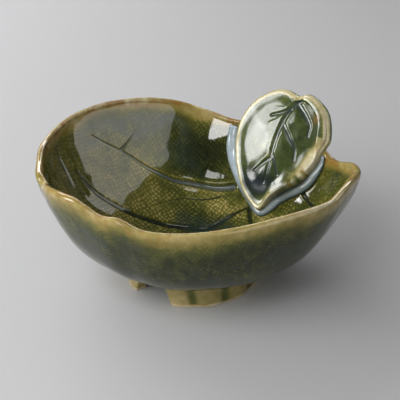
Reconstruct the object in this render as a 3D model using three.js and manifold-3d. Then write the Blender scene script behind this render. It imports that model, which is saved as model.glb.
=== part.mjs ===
// Dip bowl in the form of a broad leaf. A small leaf laid on the wall stands over the rim as a grip.
// Millimetres, +Z up. The table is at z = 0, and the origin lies under the middle of the whole object.
// Bearings are degrees round the foot's centre: 0 is to the right, 270 is towards the front.

import * as THREE from 'three';
import { mergeVertices } from 'three/addons/utils/BufferGeometryUtils.js';
import Module from 'manifold-3d';

const wasm = await Module();
wasm.setup();

// Driving dimensions of the bowl
const rimLength = 148; // the rim's base oval, left to right
const rimWidth = 128; // the rim's base oval, front to back
const rimHeight = 58; // mean height of the lip over the table
const floorHeight = 5; // underside of the floor over the table
const floorThickness = 4.6;
const lipThickness = 3.6;
const sideAngle = 80; // turn of the wall's arc from the floor to the lip, degrees
const bellyPower = 1.27; // above 1 the wall stays low for longer before it climbs
const lipFlare = 0.8; // how far the wall draws in under the lip
const waistStart = 0.6; // share of the wall at which it starts to draw in

// Driving dimensions of the foot
const footDiameter = 64;
const footBand = 6; // thickness of the ring, from its inner face to the flutes
const fluteCount = 13;
const fluteDepth = 1.1;
const ribBearing = 286; // where the middle of one rib between the flutes stands
const footSpread = 1.6; // how much wider the ring is where it meets the bowl
const footCentre = new THREE.Vector2(-1, -1.5); // the ring sits a little to the front left of the rim's oval
const footShoulder = 0.6; // share of the ring's height at which it starts to widen
const footEdge = 0.9; // bevel along the edges that stand on the table

// Driving dimensions of the small leaf and its joint
const leafLength = 58;
const leafWidth = 50;
const leafThickness = 3.8;
const leafDome = 2.2; // rise of the blade's middle over its plane
const domeReach = 0.62; // share of the leaf's width over which the rise falls to nothing
const leafMargin = 1.2; // rise of the raised margin
const leafCurl = 1.6; // further rise of the margin that curls over at the upper right
const leafStandoff = 3.4; // from the wall to the leaf's plane, at the tip
const coilWidth = 6.4; // the roll is pressed flat into its corner
const coilHeight = 4;
const coilSetback = 2.8; // from the leaf's edge out to the middle of the roll
const coilPress = 0.25; // how far the roll is pressed into the wall, before its clearance
const coilTaper = 0.5; // share of its thickness that the roll keeps at its ends

// Clearance between pieces that touch
const seatGap = 0.3;

// Fineness of the faceted surfaces
const bowlColumns = 96;
const wallRows = 11;
const leafColumns = 48;
const coilSteps = 40;
const coilSides = 10;
const footSteps = 40;
const veinSteps = 4;

// The rim leaves its base oval at these bearings: outwards and upwards, in millimetres.
// It has a sinus behind the small leaf, a pointed lobe at its right end and a notch at its left end.
const rimStations = [
  { bearing: 2, out: 1.2, up: -1.8 },
  { bearing: 14, out: -3.2, up: -7.2 },
  { bearing: 24, out: -5, up: -4.8 },
  { bearing: 42, out: -7, up: -4 },
  { bearing: 58, out: -7.6, up: -4.4 },
  { bearing: 72, out: -5.8, up: -4.2 },
  { bearing: 84, out: -2.6, up: -1.6 },
  { bearing: 97, out: 0.4, up: 2 },
  { bearing: 112, out: 1.8, up: 4.6 },
  { bearing: 130, out: 2, up: 5.8 },
  { bearing: 146, out: 2, up: 5 },
  { bearing: 160, out: 1.4, up: 2.4 },
  { bearing: 170, out: 0.6, up: 1.2 },
  { bearing: 178, out: -0.7, up: -0.8 },
  { bearing: 186, out: -1.2, up: -2 },
  { bearing: 191, out: -3, up: -3.6 },
  { bearing: 197, out: -1.6, up: -0.4 },
  { bearing: 206, out: -0.2, up: 3.2 },
  { bearing: 219, out: 0, up: 5.4 },
  { bearing: 226, out: 0, up: 3.8 },
  { bearing: 232, out: -0.2, up: 1.5 },
  { bearing: 240, out: -0.3, up: 2 },
  { bearing: 248, out: 0, up: -1.1 },
  { bearing: 256, out: 0.2, up: -1.8 },
  { bearing: 265, out: 0.1, up: -1.6 },
  { bearing: 273, out: 0, up: -0.9 },
  { bearing: 290, out: 0.2, up: 0.9 },
  { bearing: 308, out: 0.4, up: 2 },
  { bearing: 322, out: 0.4, up: 0.8 },
  { bearing: 331, out: 0.3, up: 0 },
  { bearing: 339, out: 0, up: 0.6 },
  { bearing: 348, out: 0.8, up: 0.4 },
  { bearing: 355, out: 2.4, up: -0.6 },
];

// Veins pressed into the inner face: bearing, and the share of the way from the floor's middle to the lip.
// Each starts at its wide end, near the small leaf's tip, and fades towards the rim.
const bowlVeins = [
  { width: 2.6, path: [[64, 0.64], [90, 0.59], [103, 0.6], [114, 0.66], [127, 0.78], [140, 0.9]] },
  { width: 2.2, path: [[47, 0.52], [55, 0.44], [76, 0.27],
    [119, 0.29], [142, 0.46], [151, 0.64], [155, 0.8]] },
  { width: 2, path: [[46, 0.52], [34, 0.41], [10, 0.4], [348, 0.52], [335, 0.72]] },
  { width: 2, path: [[76, 0.27], [40, 0.12], [290, 0.2], [272, 0.45], [266, 0.72]] },
  { width: 1.8, path: [[23, 0.76], [9, 0.72], [355, 0.78]] },
  { width: 1.4, path: [[71, 0.55], [86, 0.49], [99, 0.48], [119, 0.46]] },
  { width: 1.4, path: [[128, 0.8], [118, 0.88]] },
  { width: 1.4, path: [[162, 0.76], [161, 0.86], [161, 0.96]] },
];
const veinFade = 0.45; // share of its width that a vein keeps at its far end

// Where the small leaf lies: its tip on the wall, its spine and its two sides over the lip
const leafTip = { bearing: 38, share: 0.53 };
const leafSpineBearing = 44;
const leafSideBearings = [66, 19];

// The small leaf's outline from the tip round its left side to the stem and back down its right side.
// Each point is across and along, in shares of the leaf's width and length.
const leafOutline = [
  [0.03, 0.02], [-0.09, 0.06], [-0.2, 0.14], [-0.3, 0.27], [-0.38, 0.41], [-0.42, 0.53], [-0.43, 0.65],
  [-0.4, 0.75], [-0.33, 0.86], [-0.22, 0.95], [-0.09, 1.01], [0.03, 1.01], [0.12, 0.99], [0.22, 1.02],
  [0.34, 0.99], [0.45, 0.92], [0.51, 0.82], [0.54, 0.7], [0.51, 0.62], [0.49, 0.53], [0.43, 0.42],
  [0.34, 0.31], [0.24, 0.24], [0.12, 0.14],
];
const leafMiddle = [0.06, 0.55];

// Veins of the small leaf, across and along in the same shares, from the stem end outwards
const leafVeins = [
  { width: 2.2, path: [[0.16, 0.97], [0.09, 0.88], [0.05, 0.75], [0.03, 0.6], [0.03, 0.45], [0.02, 0.25]] },
  { width: 1.4, path: [[0.14, 0.94], [0.26, 0.86], [0.33, 0.79], [0.34, 0.7]] },
  { width: 1.4, path: [[0.07, 0.74], [0.17, 0.65], [0.25, 0.57], [0.27, 0.48]] },
  { width: 1.4, path: [[0.04, 0.48], [0.1, 0.41], [0.14, 0.33]] },
  { width: 1.4, path: [[0.11, 0.9], [0.03, 0.85], [-0.1, 0.8]] },
  { width: 1.4, path: [[0.05, 0.66], [-0.05, 0.61], [-0.14, 0.55]] },
  { width: 1.4, path: [[0.03, 0.45], [-0.05, 0.38], [-0.12, 0.31]] },
];

// The two stretches of the foot ring, between knife cuts that lean like the sides of a tent
const footStretches = [
  { name: 'front_foot', from: 252, to: 393 },
  { name: 'rear_foot', from: 72, to: 213 },
];
const cutLean = 6; // degrees that each cut face leans in from the table to the bowl

const degrees = THREE.MathUtils.degToRad;

// The stations before and after a bearing repeat every full turn.
function stationAt(index) {
  const count = rimStations.length;
  const turns = Math.floor(index / count);
  const station = rimStations[index - turns * count];
  return { ...station, bearing: station.bearing + 360 * turns };
}

// Smooth step from start to end, with the slopes that the neighbouring stations ask for
function hermite(share, start, end, startSlope, endSlope) {
  const rest = 1 - share;
  const blend = share * share * (3 - 2 * share);
  return start + (end - start) * blend + share * rest * (rest * startSlope - share * endSlope);
}

// Radius and height of the lip at a bearing
function rimAt(bearing) {
  const first = rimStations[0].bearing;
  const turn = first + THREE.MathUtils.euclideanModulo(bearing - first, 360);
  const later = rimStations.findIndex((station) => station.bearing > turn);
  const next = later < 0 ? rimStations.length : later;
  const [before, start, end, after] = [next - 2, next - 1, next, next + 1].map(stationAt);
  const span = end.bearing - start.bearing;
  const smooth = (key) => hermite(
    (turn - start.bearing) / span,
    start[key],
    end[key],
    (end[key] - before[key]) * span / (end.bearing - before.bearing),
    (after[key] - start[key]) * span / (after.bearing - start.bearing),
  );
  const halfLength = rimLength / 2;
  const halfWidth = rimWidth / 2;
  const angle = degrees(bearing);
  const oval = halfLength * halfWidth / Math.hypot(halfWidth * Math.cos(angle), halfLength * Math.sin(angle));
  return { radius: oval + smooth('out'), height: rimHeight + smooth('up') };
}

// Thickness of the wall, which thins evenly from the floor to the lip
function thicknessAt(share) {
  return floorThickness + (lipThickness - floorThickness) * share;
}

// A point of the wall at a depth under its outer face, with share 0 in the floor's middle and 1 at the lip
function wallPoint(bearing, share, depth) {
  const rim = rimAt(bearing);
  const turn = degrees(share * sideAngle);
  const full = degrees(sideAngle);
  const rise = (1 - Math.cos(turn)) / (1 - Math.cos(full));
  const climb = rim.height - lipThickness / 2 - floorHeight;
  const pastWaist = THREE.MathUtils.clamp((share - waistStart) / (1 - waistStart), 0, 1);
  const waist = lipFlare * Math.sin(Math.PI * pastWaist) ** 2;
  const outwards = rim.radius * Math.cos(turn) / Math.sin(full);
  const upwards = climb * bellyPower * rise ** (bellyPower - 1) * Math.sin(turn) / (1 - Math.cos(full));
  const slope = Math.hypot(outwards, upwards);
  const radius = rim.radius * Math.sin(turn) / Math.sin(full) - waist - depth * upwards / slope;
  const height = floorHeight + climb * rise ** bellyPower + depth * outwards / slope;
  return new THREE.Vector3(radius * Math.cos(degrees(bearing)), radius * Math.sin(degrees(bearing)), height);
}

// A point of the inner face, or above it by a lift
function innerPoint(bearing, share, lift = 0) {
  return wallPoint(bearing, share, thicknessAt(share) + lift);
}

// Share of the way up the inner face at which it reaches a height
function innerShareAt(bearing, height) {
  let low = 0;
  let high = 1;
  for (let round = 0; round < 24; round += 1) {
    const middle = (low + high) / 2;
    if (innerPoint(bearing, middle).z < height) low = middle;
    else high = middle;
  }
  return high;
}

// Height of the bowl's underside over a place on the table
function undersideAt(x, y) {
  const rim = rimAt(THREE.MathUtils.radToDeg(Math.atan2(y, x)));
  const full = degrees(sideAngle);
  const turn = Math.asin(Math.hypot(x, y) * Math.sin(full) / rim.radius);
  const rise = (1 - Math.cos(turn)) / (1 - Math.cos(full));
  return floorHeight + (rim.height - lipThickness / 2 - floorHeight) * rise ** bellyPower;
}

// Closed solid through rings of as many points each, with a fan over the first and the last ring
function loft(rings) {
  const count = rings[0].length;
  const points = rings.flat();
  const faces = [];
  for (let ring = 0; ring + 1 < rings.length; ring += 1) {
    for (let i = 0; i < count; i += 1) {
      const here = ring * count + i;
      const beside = ring * count + (i + 1) % count;
      faces.push(here, beside, here + count, beside, beside + count, here + count);
    }
  }
  for (const end of [0, rings.length - 1]) {
    const middle = new THREE.Vector3();
    rings[end].forEach((point) => middle.addScaledVector(point, 1 / count));
    points.push(middle);
    for (let i = 0; i < count; i += 1) {
      const edge = [end * count + i, end * count + (i + 1) % count];
      if (end === 0) edge.reverse();
      faces.push(edge[0], edge[1], points.length - 1);
    }
  }
  const geometry = new THREE.BufferGeometry().setFromPoints(points);
  geometry.setIndex(faces);
  return toSolid(geometry);
}

// Six times the volume of a mesh, which is negative when its faces point inwards
function signedVolume(geometry) {
  const place = geometry.getAttribute('position');
  const corners = [new THREE.Vector3(), new THREE.Vector3(), new THREE.Vector3()];
  let sum = 0;
  for (let i = 0; i < geometry.index.count; i += 3) {
    corners.forEach((corner, k) => corner.fromBufferAttribute(place, geometry.index.getX(i + k)));
    sum += corners[0].dot(corners[1].cross(corners[2]));
  }
  return sum;
}

// A solid that can be cut, with merged vertices and its faces turned to point outwards
function toSolid(geometry) {
  const bare = new THREE.BufferGeometry();
  bare.setAttribute('position', geometry.getAttribute('position'));
  bare.setIndex(geometry.index);
  const merged = mergeVertices(bare, 1e-5);
  const triangles = Uint32Array.from(merged.index.array);
  if (signedVolume(merged) < 0) triangles.reverse();
  return new wasm.Manifold(new wasm.Mesh({
    numProp: 3,
    vertProperties: Float32Array.from(merged.getAttribute('position').array),
    triVerts: triangles,
  }));
}

// The mesh of a solid after its cuts
function toGeometry(solid) {
  const mesh = solid.getMesh();
  const geometry = new THREE.BufferGeometry();
  geometry.setAttribute('position', new THREE.BufferAttribute(mesh.vertProperties, 3));
  geometry.setIndex(new THREE.BufferAttribute(mesh.triVerts, 1));
  geometry.computeVertexNormals();
  return geometry;
}

// Round cord of changing radius through points, with its sections square to its path
function cord(points, radiusAt, sides) {
  const curve = new THREE.CatmullRomCurve3(points);
  const steps = points.length - 1;
  const frames = curve.computeFrenetFrames(steps);
  const rings = [];
  for (let step = 0; step <= steps; step += 1) {
    const share = step / steps;
    const ring = [];
    for (let side = 0; side < sides; side += 1) {
      const angle = 2 * Math.PI * side / sides;
      ring.push(points[step].clone()
        .addScaledVector(frames.normals[step], Math.cos(angle) * radiusAt(share))
        .addScaledVector(frames.binormals[step], Math.sin(angle) * radiusAt(share)));
    }
    rings.push(ring);
  }
  return loft(rings);
}

// Grooves cut along veins: place turns a vein's own pair of numbers into a point of the surface
function cutVeins(solid, veins, toFlat, place) {
  return veins.reduce((left, vein) => {
    const flat = new THREE.CatmullRomCurve3(vein.path.map(([first, second]) => toFlat(first, second)));
    const steps = veinSteps * (vein.path.length - 1);
    const points = flat.getPoints(steps).map(place);
    const radiusAt = (share) => vein.width / 2 * (1 - (1 - veinFade) * share);
    return left.subtract(cord(points, radiusAt, 6));
  }, solid);
}

// The inner face unrolled to a disc, on which paths stay smooth across the floor's middle
function discPoint(bearing, share) {
  return new THREE.Vector3(share * Math.cos(degrees(bearing)), share * Math.sin(degrees(bearing)), 0);
}

function discToInner(flat) {
  return innerPoint(THREE.MathUtils.radToDeg(Math.atan2(flat.y, flat.x)), flat.length());
}

// The bowl's wall with its round lip, made larger on all sides by a gap where it is used as a cutter
function bowlShell(gap = 0) {
  const rings = [];
  const bearings = Array.from({ length: bowlColumns }, (_, column) => 360 * column / bowlColumns);
  const addRing = (place) => rings.push(bearings.map(place));
  for (let row = 1; row <= wallRows; row += 1) addRing((bearing) => wallPoint(bearing, row / wallRows, -gap));
  for (const turn of [45, 90, 135]) addRing((bearing) => lipPoint(bearing, turn, gap));
  for (let row = wallRows; row >= 1; row -= 1) addRing((bearing) => innerPoint(bearing, row / wallRows, gap));
  return loft(rings);
}

// The lip is half a round: turn is 0 at the outer face and 180 at the inner face.
function lipPoint(bearing, turn, gap) {
  const outer = wallPoint(bearing, 1, -gap);
  const inner = innerPoint(bearing, 1, gap);
  const towardsInner = inner.clone().sub(outer).multiplyScalar(0.5);
  const around = new THREE.Vector3(-Math.sin(degrees(bearing)), Math.cos(degrees(bearing)), 0);
  const upwards = towardsInner.clone().cross(around);
  if (upwards.z < 0) upwards.negate();
  return outer.clone().add(inner).multiplyScalar(0.5)
    .addScaledVector(towardsInner, -Math.cos(degrees(turn)))
    .addScaledVector(upwards, Math.sin(degrees(turn)));
}

// The small leaf's own axes: it lies from its tip on the wall to its spine on the lip.
function leafAxes() {
  const tip = innerPoint(leafTip.bearing, leafTip.share);
  const spine = innerPoint(leafSpineBearing, 1);
  const [left, right] = leafSideBearings.map((bearing) => innerPoint(bearing, 1));
  const along = spine.clone().sub(tip).normalize();
  const across = right.clone().sub(left);
  across.addScaledVector(along, -across.dot(along)).normalize();
  const face = across.clone().cross(along);
  return { origin: tip.addScaledVector(face, leafStandoff), along, across, face };
}

const leafFrame = leafAxes();

// A point of the small leaf: across and along in shares, height in millimetres over its plane
function leafPoint(across, along, height) {
  return leafFrame.origin.clone()
    .addScaledVector(leafFrame.across, across * leafWidth)
    .addScaledVector(leafFrame.along, along * leafLength)
    .addScaledVector(leafFrame.face, height);
}

// Rise of the blade over the leaf's plane, highest along its spine
function leafDomeAt(across, along) {
  const sideways = 1 - ((across - leafMiddle[0]) / domeReach) ** 2;
  return leafDome * sideways * Math.sin(Math.PI * THREE.MathUtils.clamp(along, 0, 1));
}

// The margin is a low rim, and curls higher where the leaf stands over the lip at its right.
function marginAt(across, along) {
  const rightwards = THREE.MathUtils.smoothstep(across, 0.2, 0.5);
  const upwards = THREE.MathUtils.smoothstep(along, 0.6, 0.75);
  return leafMargin + leafCurl * rightwards * upwards;
}

const leafEdge = new THREE.CatmullRomCurve3(
  leafOutline.map(([across, along]) => new THREE.Vector3(across, along, 0)),
  true,
);

// The blade from the middle of its front, over the raised margin and round to the middle of its back
function leafBlade(gap = 0) {
  const middle = new THREE.Vector3(...leafMiddle, 0);
  const edge = leafEdge.getPoints(leafColumns).slice(0, leafColumns);
  const front = [[0.2, 0], [0.45, 0], [0.66, 0], [0.8, 0.15], [0.9, 1], [0.96, 0.8], [1, 0]];
  const back = [[1, 0.4], [0.96, 0.85], [0.88, 1], [0.6, 1], [0.25, 1]];
  const outwards = (point, reach) => {
    const arm = point.clone().sub(middle);
    const size = Math.hypot(arm.x * leafWidth, arm.y * leafLength);
    return arm.multiplyScalar(reach * (1 + gap / size)).add(middle);
  };
  const frontRing = ([reach, margin]) => edge.map((point) => {
    const { x, y } = outwards(point, reach);
    return leafPoint(x, y, leafDomeAt(x, y) + marginAt(x, y) * margin + gap);
  });
  const backRing = ([reach, depth]) => edge.map((point) => {
    const { x, y } = outwards(point, reach);
    return leafPoint(x, y, leafDomeAt(x, y) * (1 - depth) - leafThickness * depth - gap);
  });
  return loft([...front.map(frontRing), ...back.map(backRing)]);
}

// The middle line of the roll, in the corner between the small leaf's edge and the wall, up to the lip.
// Each place on it has the direction out of the wall there.
function coilRoute() {
  const centre = leafPoint(...leafMiddle, 0);
  const places = [];
  for (let step = 0; step <= coilSteps * 2; step += 1) {
    const flat = leafEdge.getPoint(THREE.MathUtils.euclideanModulo(step / (coilSteps * 2) + 0.5, 1));
    const point = leafPoint(flat.x, flat.y, -leafThickness / 2);
    point.addScaledVector(point.clone().sub(centre).normalize(), coilSetback);
    const bearing = THREE.MathUtils.radToDeg(Math.atan2(point.y, point.x));
    if (point.z > rimAt(bearing).height - coilHeight / 2) continue;
    const share = innerShareAt(bearing, point.z);
    const onWall = innerPoint(bearing, share);
    const out = innerPoint(bearing, share, 1).sub(onWall);
    places.push({ middle: onWall.addScaledVector(out, coilHeight / 2 - coilPress), out });
  }
  return places;
}

// The roll: an oval section that lies flat on the wall and tapers at both ends
function jointCoil() {
  const route = coilRoute();
  const last = route.length - 1;
  const rings = route.map(({ middle, out }, step) => {
    const along = route[Math.min(step + 1, last)].middle.clone().sub(route[Math.max(step - 1, 0)].middle);
    const beside = along.cross(out).normalize();
    const fromEnd = THREE.MathUtils.smoothstep(Math.min(step, last - step) / last, 0, 0.1);
    const size = coilTaper + (1 - coilTaper) * fromEnd;
    return Array.from({ length: coilSides }, (_, side) => {
      const angle = 2 * Math.PI * side / coilSides;
      return middle.clone()
        .addScaledVector(out, Math.cos(angle) * size * coilHeight / 2)
        .addScaledVector(beside, Math.sin(angle) * size * coilWidth / 2);
    });
  });
  return loft(rings).subtract(leafBlade(seatGap)).subtract(bowlShell(seatGap));
}

// Outer face of the foot ring: its flutes are shallow hollows between round ribs
function footRadius(bearing) {
  const rib = Math.abs(Math.cos(degrees((bearing - ribBearing) * fluteCount / 2)));
  return footDiameter / 2 - fluteDepth * (1 - rib);
}

// One stretch of the ring, lofted round the foot with its top against the bowl's underside
function footStretch({ from, to }) {
  const rings = [];
  const inner = footDiameter / 2 - footBand;
  for (let step = 0; step <= footSteps; step += 1) {
    const share = step / footSteps;
    const place = (radius, level) => {
      const angle = degrees(from + (to - from) * share - cutLean * level * (1 - 2 * share));
      const x = footCentre.x + radius * Math.cos(angle);
      const y = footCentre.y + radius * Math.sin(angle);
      return new THREE.Vector3(x, y, level * (undersideAt(x, y) - seatGap * 1.1));
    };
    const outer = footRadius(from + (to - from) * share);
    const bevel = footEdge / place(outer, 1).z;
    rings.push([
      place(inner + footEdge, 0),
      place(outer - footEdge, 0),
      place(outer, bevel),
      place(outer, footShoulder),
      place(outer + footSpread, 1),
      place((inner + outer) / 2, 1),
      place(inner - footSpread / 2, 1),
      place(inner, footShoulder),
      place(inner, bevel),
    ]);
  }
  return loft(rings);
}

function glaze(color, roughness) {
  return new THREE.MeshStandardMaterial({ color, roughness, metalness: 0 });
}

const group = new THREE.Group();

function addPiece(name, solid, material) {
  const mesh = new THREE.Mesh(toGeometry(solid), material);
  mesh.name = name;
  group.add(mesh);
}

const bowl = cutVeins(bowlShell(), bowlVeins, discPoint, discToInner);
const leafPlane = (across, along) => new THREE.Vector3(across, along, 0);
const onBlade = (flat) => leafPoint(flat.x, flat.y, leafDomeAt(flat.x, flat.y));
const smallLeaf = cutVeins(leafBlade().subtract(bowlShell(seatGap)), leafVeins, leafPlane, onBlade);

addPiece('bowl_body', bowl, glaze(0x49522c, 0.16));
addPiece('handle_leaf', smallLeaf, glaze(0x77784a, 0.14));
addPiece('joint_coil', jointCoil(), glaze(0x71858c, 0.16));
for (const stretch of footStretches) {
  addPiece(stretch.name, footStretch(stretch), glaze(0x8c8a55, 0.3));
}

// The object is moved so that its origin is on the table, under the middle of its box.
const whole = new THREE.Box3().setFromObject(group);
const middle = whole.getCenter(new THREE.Vector3());
group.position.set(-middle.x, -middle.y, -whole.min.z);

export default group;
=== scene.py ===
"""Looks of a dip bowl in the form of a broad leaf, in green-glazed stoneware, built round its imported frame.

Metres, +Z up. The table is at z = 0, and the origin lies under the middle of the whole object.
Bearings are degrees round the bowl's axis: 0 is to the right, 270 is towards the front.
Sizes in the tables of stations are in millimetres, as a potter would note them.
"""

import logging
import math
from dataclasses import dataclass
from enum import Enum
from typing import Optional, Sequence

import bpy
import numpy as np
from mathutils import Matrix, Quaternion, Vector, noise


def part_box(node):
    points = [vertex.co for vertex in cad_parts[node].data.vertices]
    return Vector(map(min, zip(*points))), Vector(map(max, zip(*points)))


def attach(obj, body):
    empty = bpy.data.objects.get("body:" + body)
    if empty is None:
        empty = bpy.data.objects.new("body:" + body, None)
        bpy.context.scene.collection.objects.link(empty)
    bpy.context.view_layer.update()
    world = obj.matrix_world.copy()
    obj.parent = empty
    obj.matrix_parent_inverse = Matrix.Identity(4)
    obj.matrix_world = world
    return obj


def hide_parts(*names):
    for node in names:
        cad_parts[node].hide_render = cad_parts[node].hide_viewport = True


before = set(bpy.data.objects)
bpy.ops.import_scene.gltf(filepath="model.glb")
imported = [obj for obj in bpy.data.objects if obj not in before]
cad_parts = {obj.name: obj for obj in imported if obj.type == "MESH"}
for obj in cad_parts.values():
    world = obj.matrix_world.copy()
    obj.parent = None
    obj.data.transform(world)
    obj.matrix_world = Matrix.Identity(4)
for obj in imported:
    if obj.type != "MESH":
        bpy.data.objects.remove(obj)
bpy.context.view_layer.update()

LOG = logging.getLogger("dip_bowl")
MM = 0.001
CLOTH_MAP = "threads"
# From one thread of the cloth to the next
THREAD = 2.0 * MM
# Stands for the distance of whatever lies beyond reach of every groove
FAR = 1e3

Array = np.ndarray
Pairs = Sequence[Sequence[float]]


class Slot(Enum):
    """The record's material slots."""

    GREEN = "green_glaze"
    LEAF = "leaf_glaze"
    POOLED = "pooled_glaze"
    FOOT = "foot_glaze"


class Side(Enum):
    """The two faces of a flat template, by their height in it."""

    UNDER = -0.5
    UPPER = 0.5


class Element(Enum):
    """What can be selected in edit mode, and the list of the mesh that holds it."""

    VERT = "vertices"
    EDGE = "edges"
    FACE = "polygons"


class Unevenness(Enum):
    """Hand-made unevenness: a pattern's place in one endless field of noise, and its humps in millimetres."""

    BOWL_SAG = (3.1, 16)
    BOWL_DIMPLES = (8.4, 7)
    LIP_GLAZE = (7.3, 15)
    CLOUDS = (4.4, 9)
    LEAF_DIMPLES = (5.2, 6)
    ROLL_PRESSES = (1.9, 7)
    ROLL_DIMPLES = (6.6, 3)
    ROLL_MILK = (3.3, 11)
    FOOT_CUTS = (2.7, 5)


class Grain(Enum):
    """Patterns in the finishes: how many humps to a metre, or to a thread, and how detailed they are."""

    HAZE = (62.0, 4.0)
    IRON = (240.0, 3.0)
    MILK = (180.0, 3.0)
    DEPTH = (45.0, 3.0)
    SPECKLE = (300.0, 3.0)
    RUNS = (260.0, 3.0)
    CLOTH_DRAG = (0.35, 3.0)
    CLOTH_PRESS = (0.22, 2.0)
    TABLE = (900.0, 2.0)


def smooth_path(points: Array, steps: int, closed: bool = False) -> Array:
    """A centripetal Catmull-Rom curve through points.

    Args:
        points: The points it passes, one a row.
        steps: How many steps it takes from one point to the next.
        closed: Whether it runs on from the last point to the first.

    Returns:
        Its points, one a row. A closed curve leaves out its end, which is its start.
    """
    if closed:
        knots = np.vstack([points[-1:], points, points[:2]])
    else:
        knots = np.vstack([2 * points[0] - points[1], points, 2 * points[-1] - points[-2]])
    spans = len(knots) - 3
    share = np.arange(spans * steps + (not closed)) / steps
    span = np.minimum(share.astype(int), spans - 1)
    t = (share - span)[:, None]
    p0, p1, p2, p3 = (knots[span + k] for k in range(4))
    chords = ((p0, p1), (p1, p2), (p2, p3))
    d0, d1, d2 = (np.sqrt(np.linalg.norm(b - a, axis=1))[:, None] for a, b in chords)
    start = d1 * ((p1 - p0) / d0 - (p2 - p0) / (d0 + d1) + (p2 - p1) / d1)
    end = d1 * ((p2 - p1) / d1 - (p3 - p1) / (d1 + d2) + (p3 - p2) / d2)
    return (
        p1
        + start * t
        + (3 * (p2 - p1) - 2 * start - end) * t**2
        + (2 * (p1 - p2) + start + end) * t**3
    )


def smoothstep(value: Array, low: float, high: float) -> Array:
    """0 under low, 1 over high, and a smooth rise between them."""
    share = np.clip((value - low) / (high - low), 0, 1)
    return share * share * (3 - 2 * share)


def round_table(at: Array, table: Array, turn: float) -> Array:
    """Smooth values between the rows of a table that goes once round.

    Args:
        at: Where the values are wanted, in the unit of the table's first column.
        table: One row for each station, with its place first.
        turn: How much of that unit makes a full turn.

    Returns:
        One row of values for each place, without the first column.
    """
    first = table[0, 0]
    place = first + np.mod(at - first, turn)
    before, after = table[-2:].copy(), table[:2].copy()
    before[:, 0] -= turn
    after[:, 0] += turn
    rows = np.vstack([before, table, after])
    index = np.searchsorted(rows[:, 0], place, side="right") - 1
    r0, r1, r2, r3 = (rows[np.clip(index + k, 0, len(rows) - 1)] for k in (-1, 0, 1, 2))
    span = r2[:, :1] - r1[:, :1]
    t = (place[:, None] - r1[:, :1]) / span
    start = (r2 - r0)[:, 1:] * span / (r2[:, :1] - r0[:, :1])
    end = (r3 - r1)[:, 1:] * span / (r3[:, :1] - r1[:, :1])
    blend = t * t * (3 - 2 * t)
    return r1[:, 1:] + (r2 - r1)[:, 1:] * blend + t * (1 - t) * ((1 - t) * start - t * end)


def bell(value: Array, middle: float, width: float) -> Array:
    """1 in the middle, and a smooth fall to both sides over about a width."""
    return np.exp(-(((value - middle) / width) ** 2))


@dataclass(frozen=True)
class Zone:
    """A stretch along one measure with soft ends: where it starts, is full, starts to fade and ends."""

    start: float
    full: float
    fading: float
    end: float

    def share(self, value: Array) -> Array:
        """0 outside the stretch and 1 well inside it."""
        return smoothstep(value, self.start, self.full) * (1 - smoothstep(value, self.fading, self.end))


@dataclass(frozen=True)
class Patch:
    """A soft round patch over two measures, with its middle and its width in each."""

    middle: tuple[float, float]
    width: tuple[float, float]

    def share(self, first: Array, second: Array) -> Array:
        """1 in its middle, and a smooth fall all round."""
        return bell(first, self.middle[0], self.width[0]) * bell(second, self.middle[1], self.width[1])


def ripple(points: Array, pattern: Unevenness) -> Array:
    """Smooth uneven values from about -0.5 to 0.5 at points, the same on each run.

    Args:
        points: Places in metres, one a row.
        pattern: Which pattern it is.

    Returns:
        One value for each point.
    """
    place, hump = pattern.value
    shifted = points / (hump * MM) + place
    return np.array([noise.noise(Vector(p)) for p in shifted])


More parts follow.
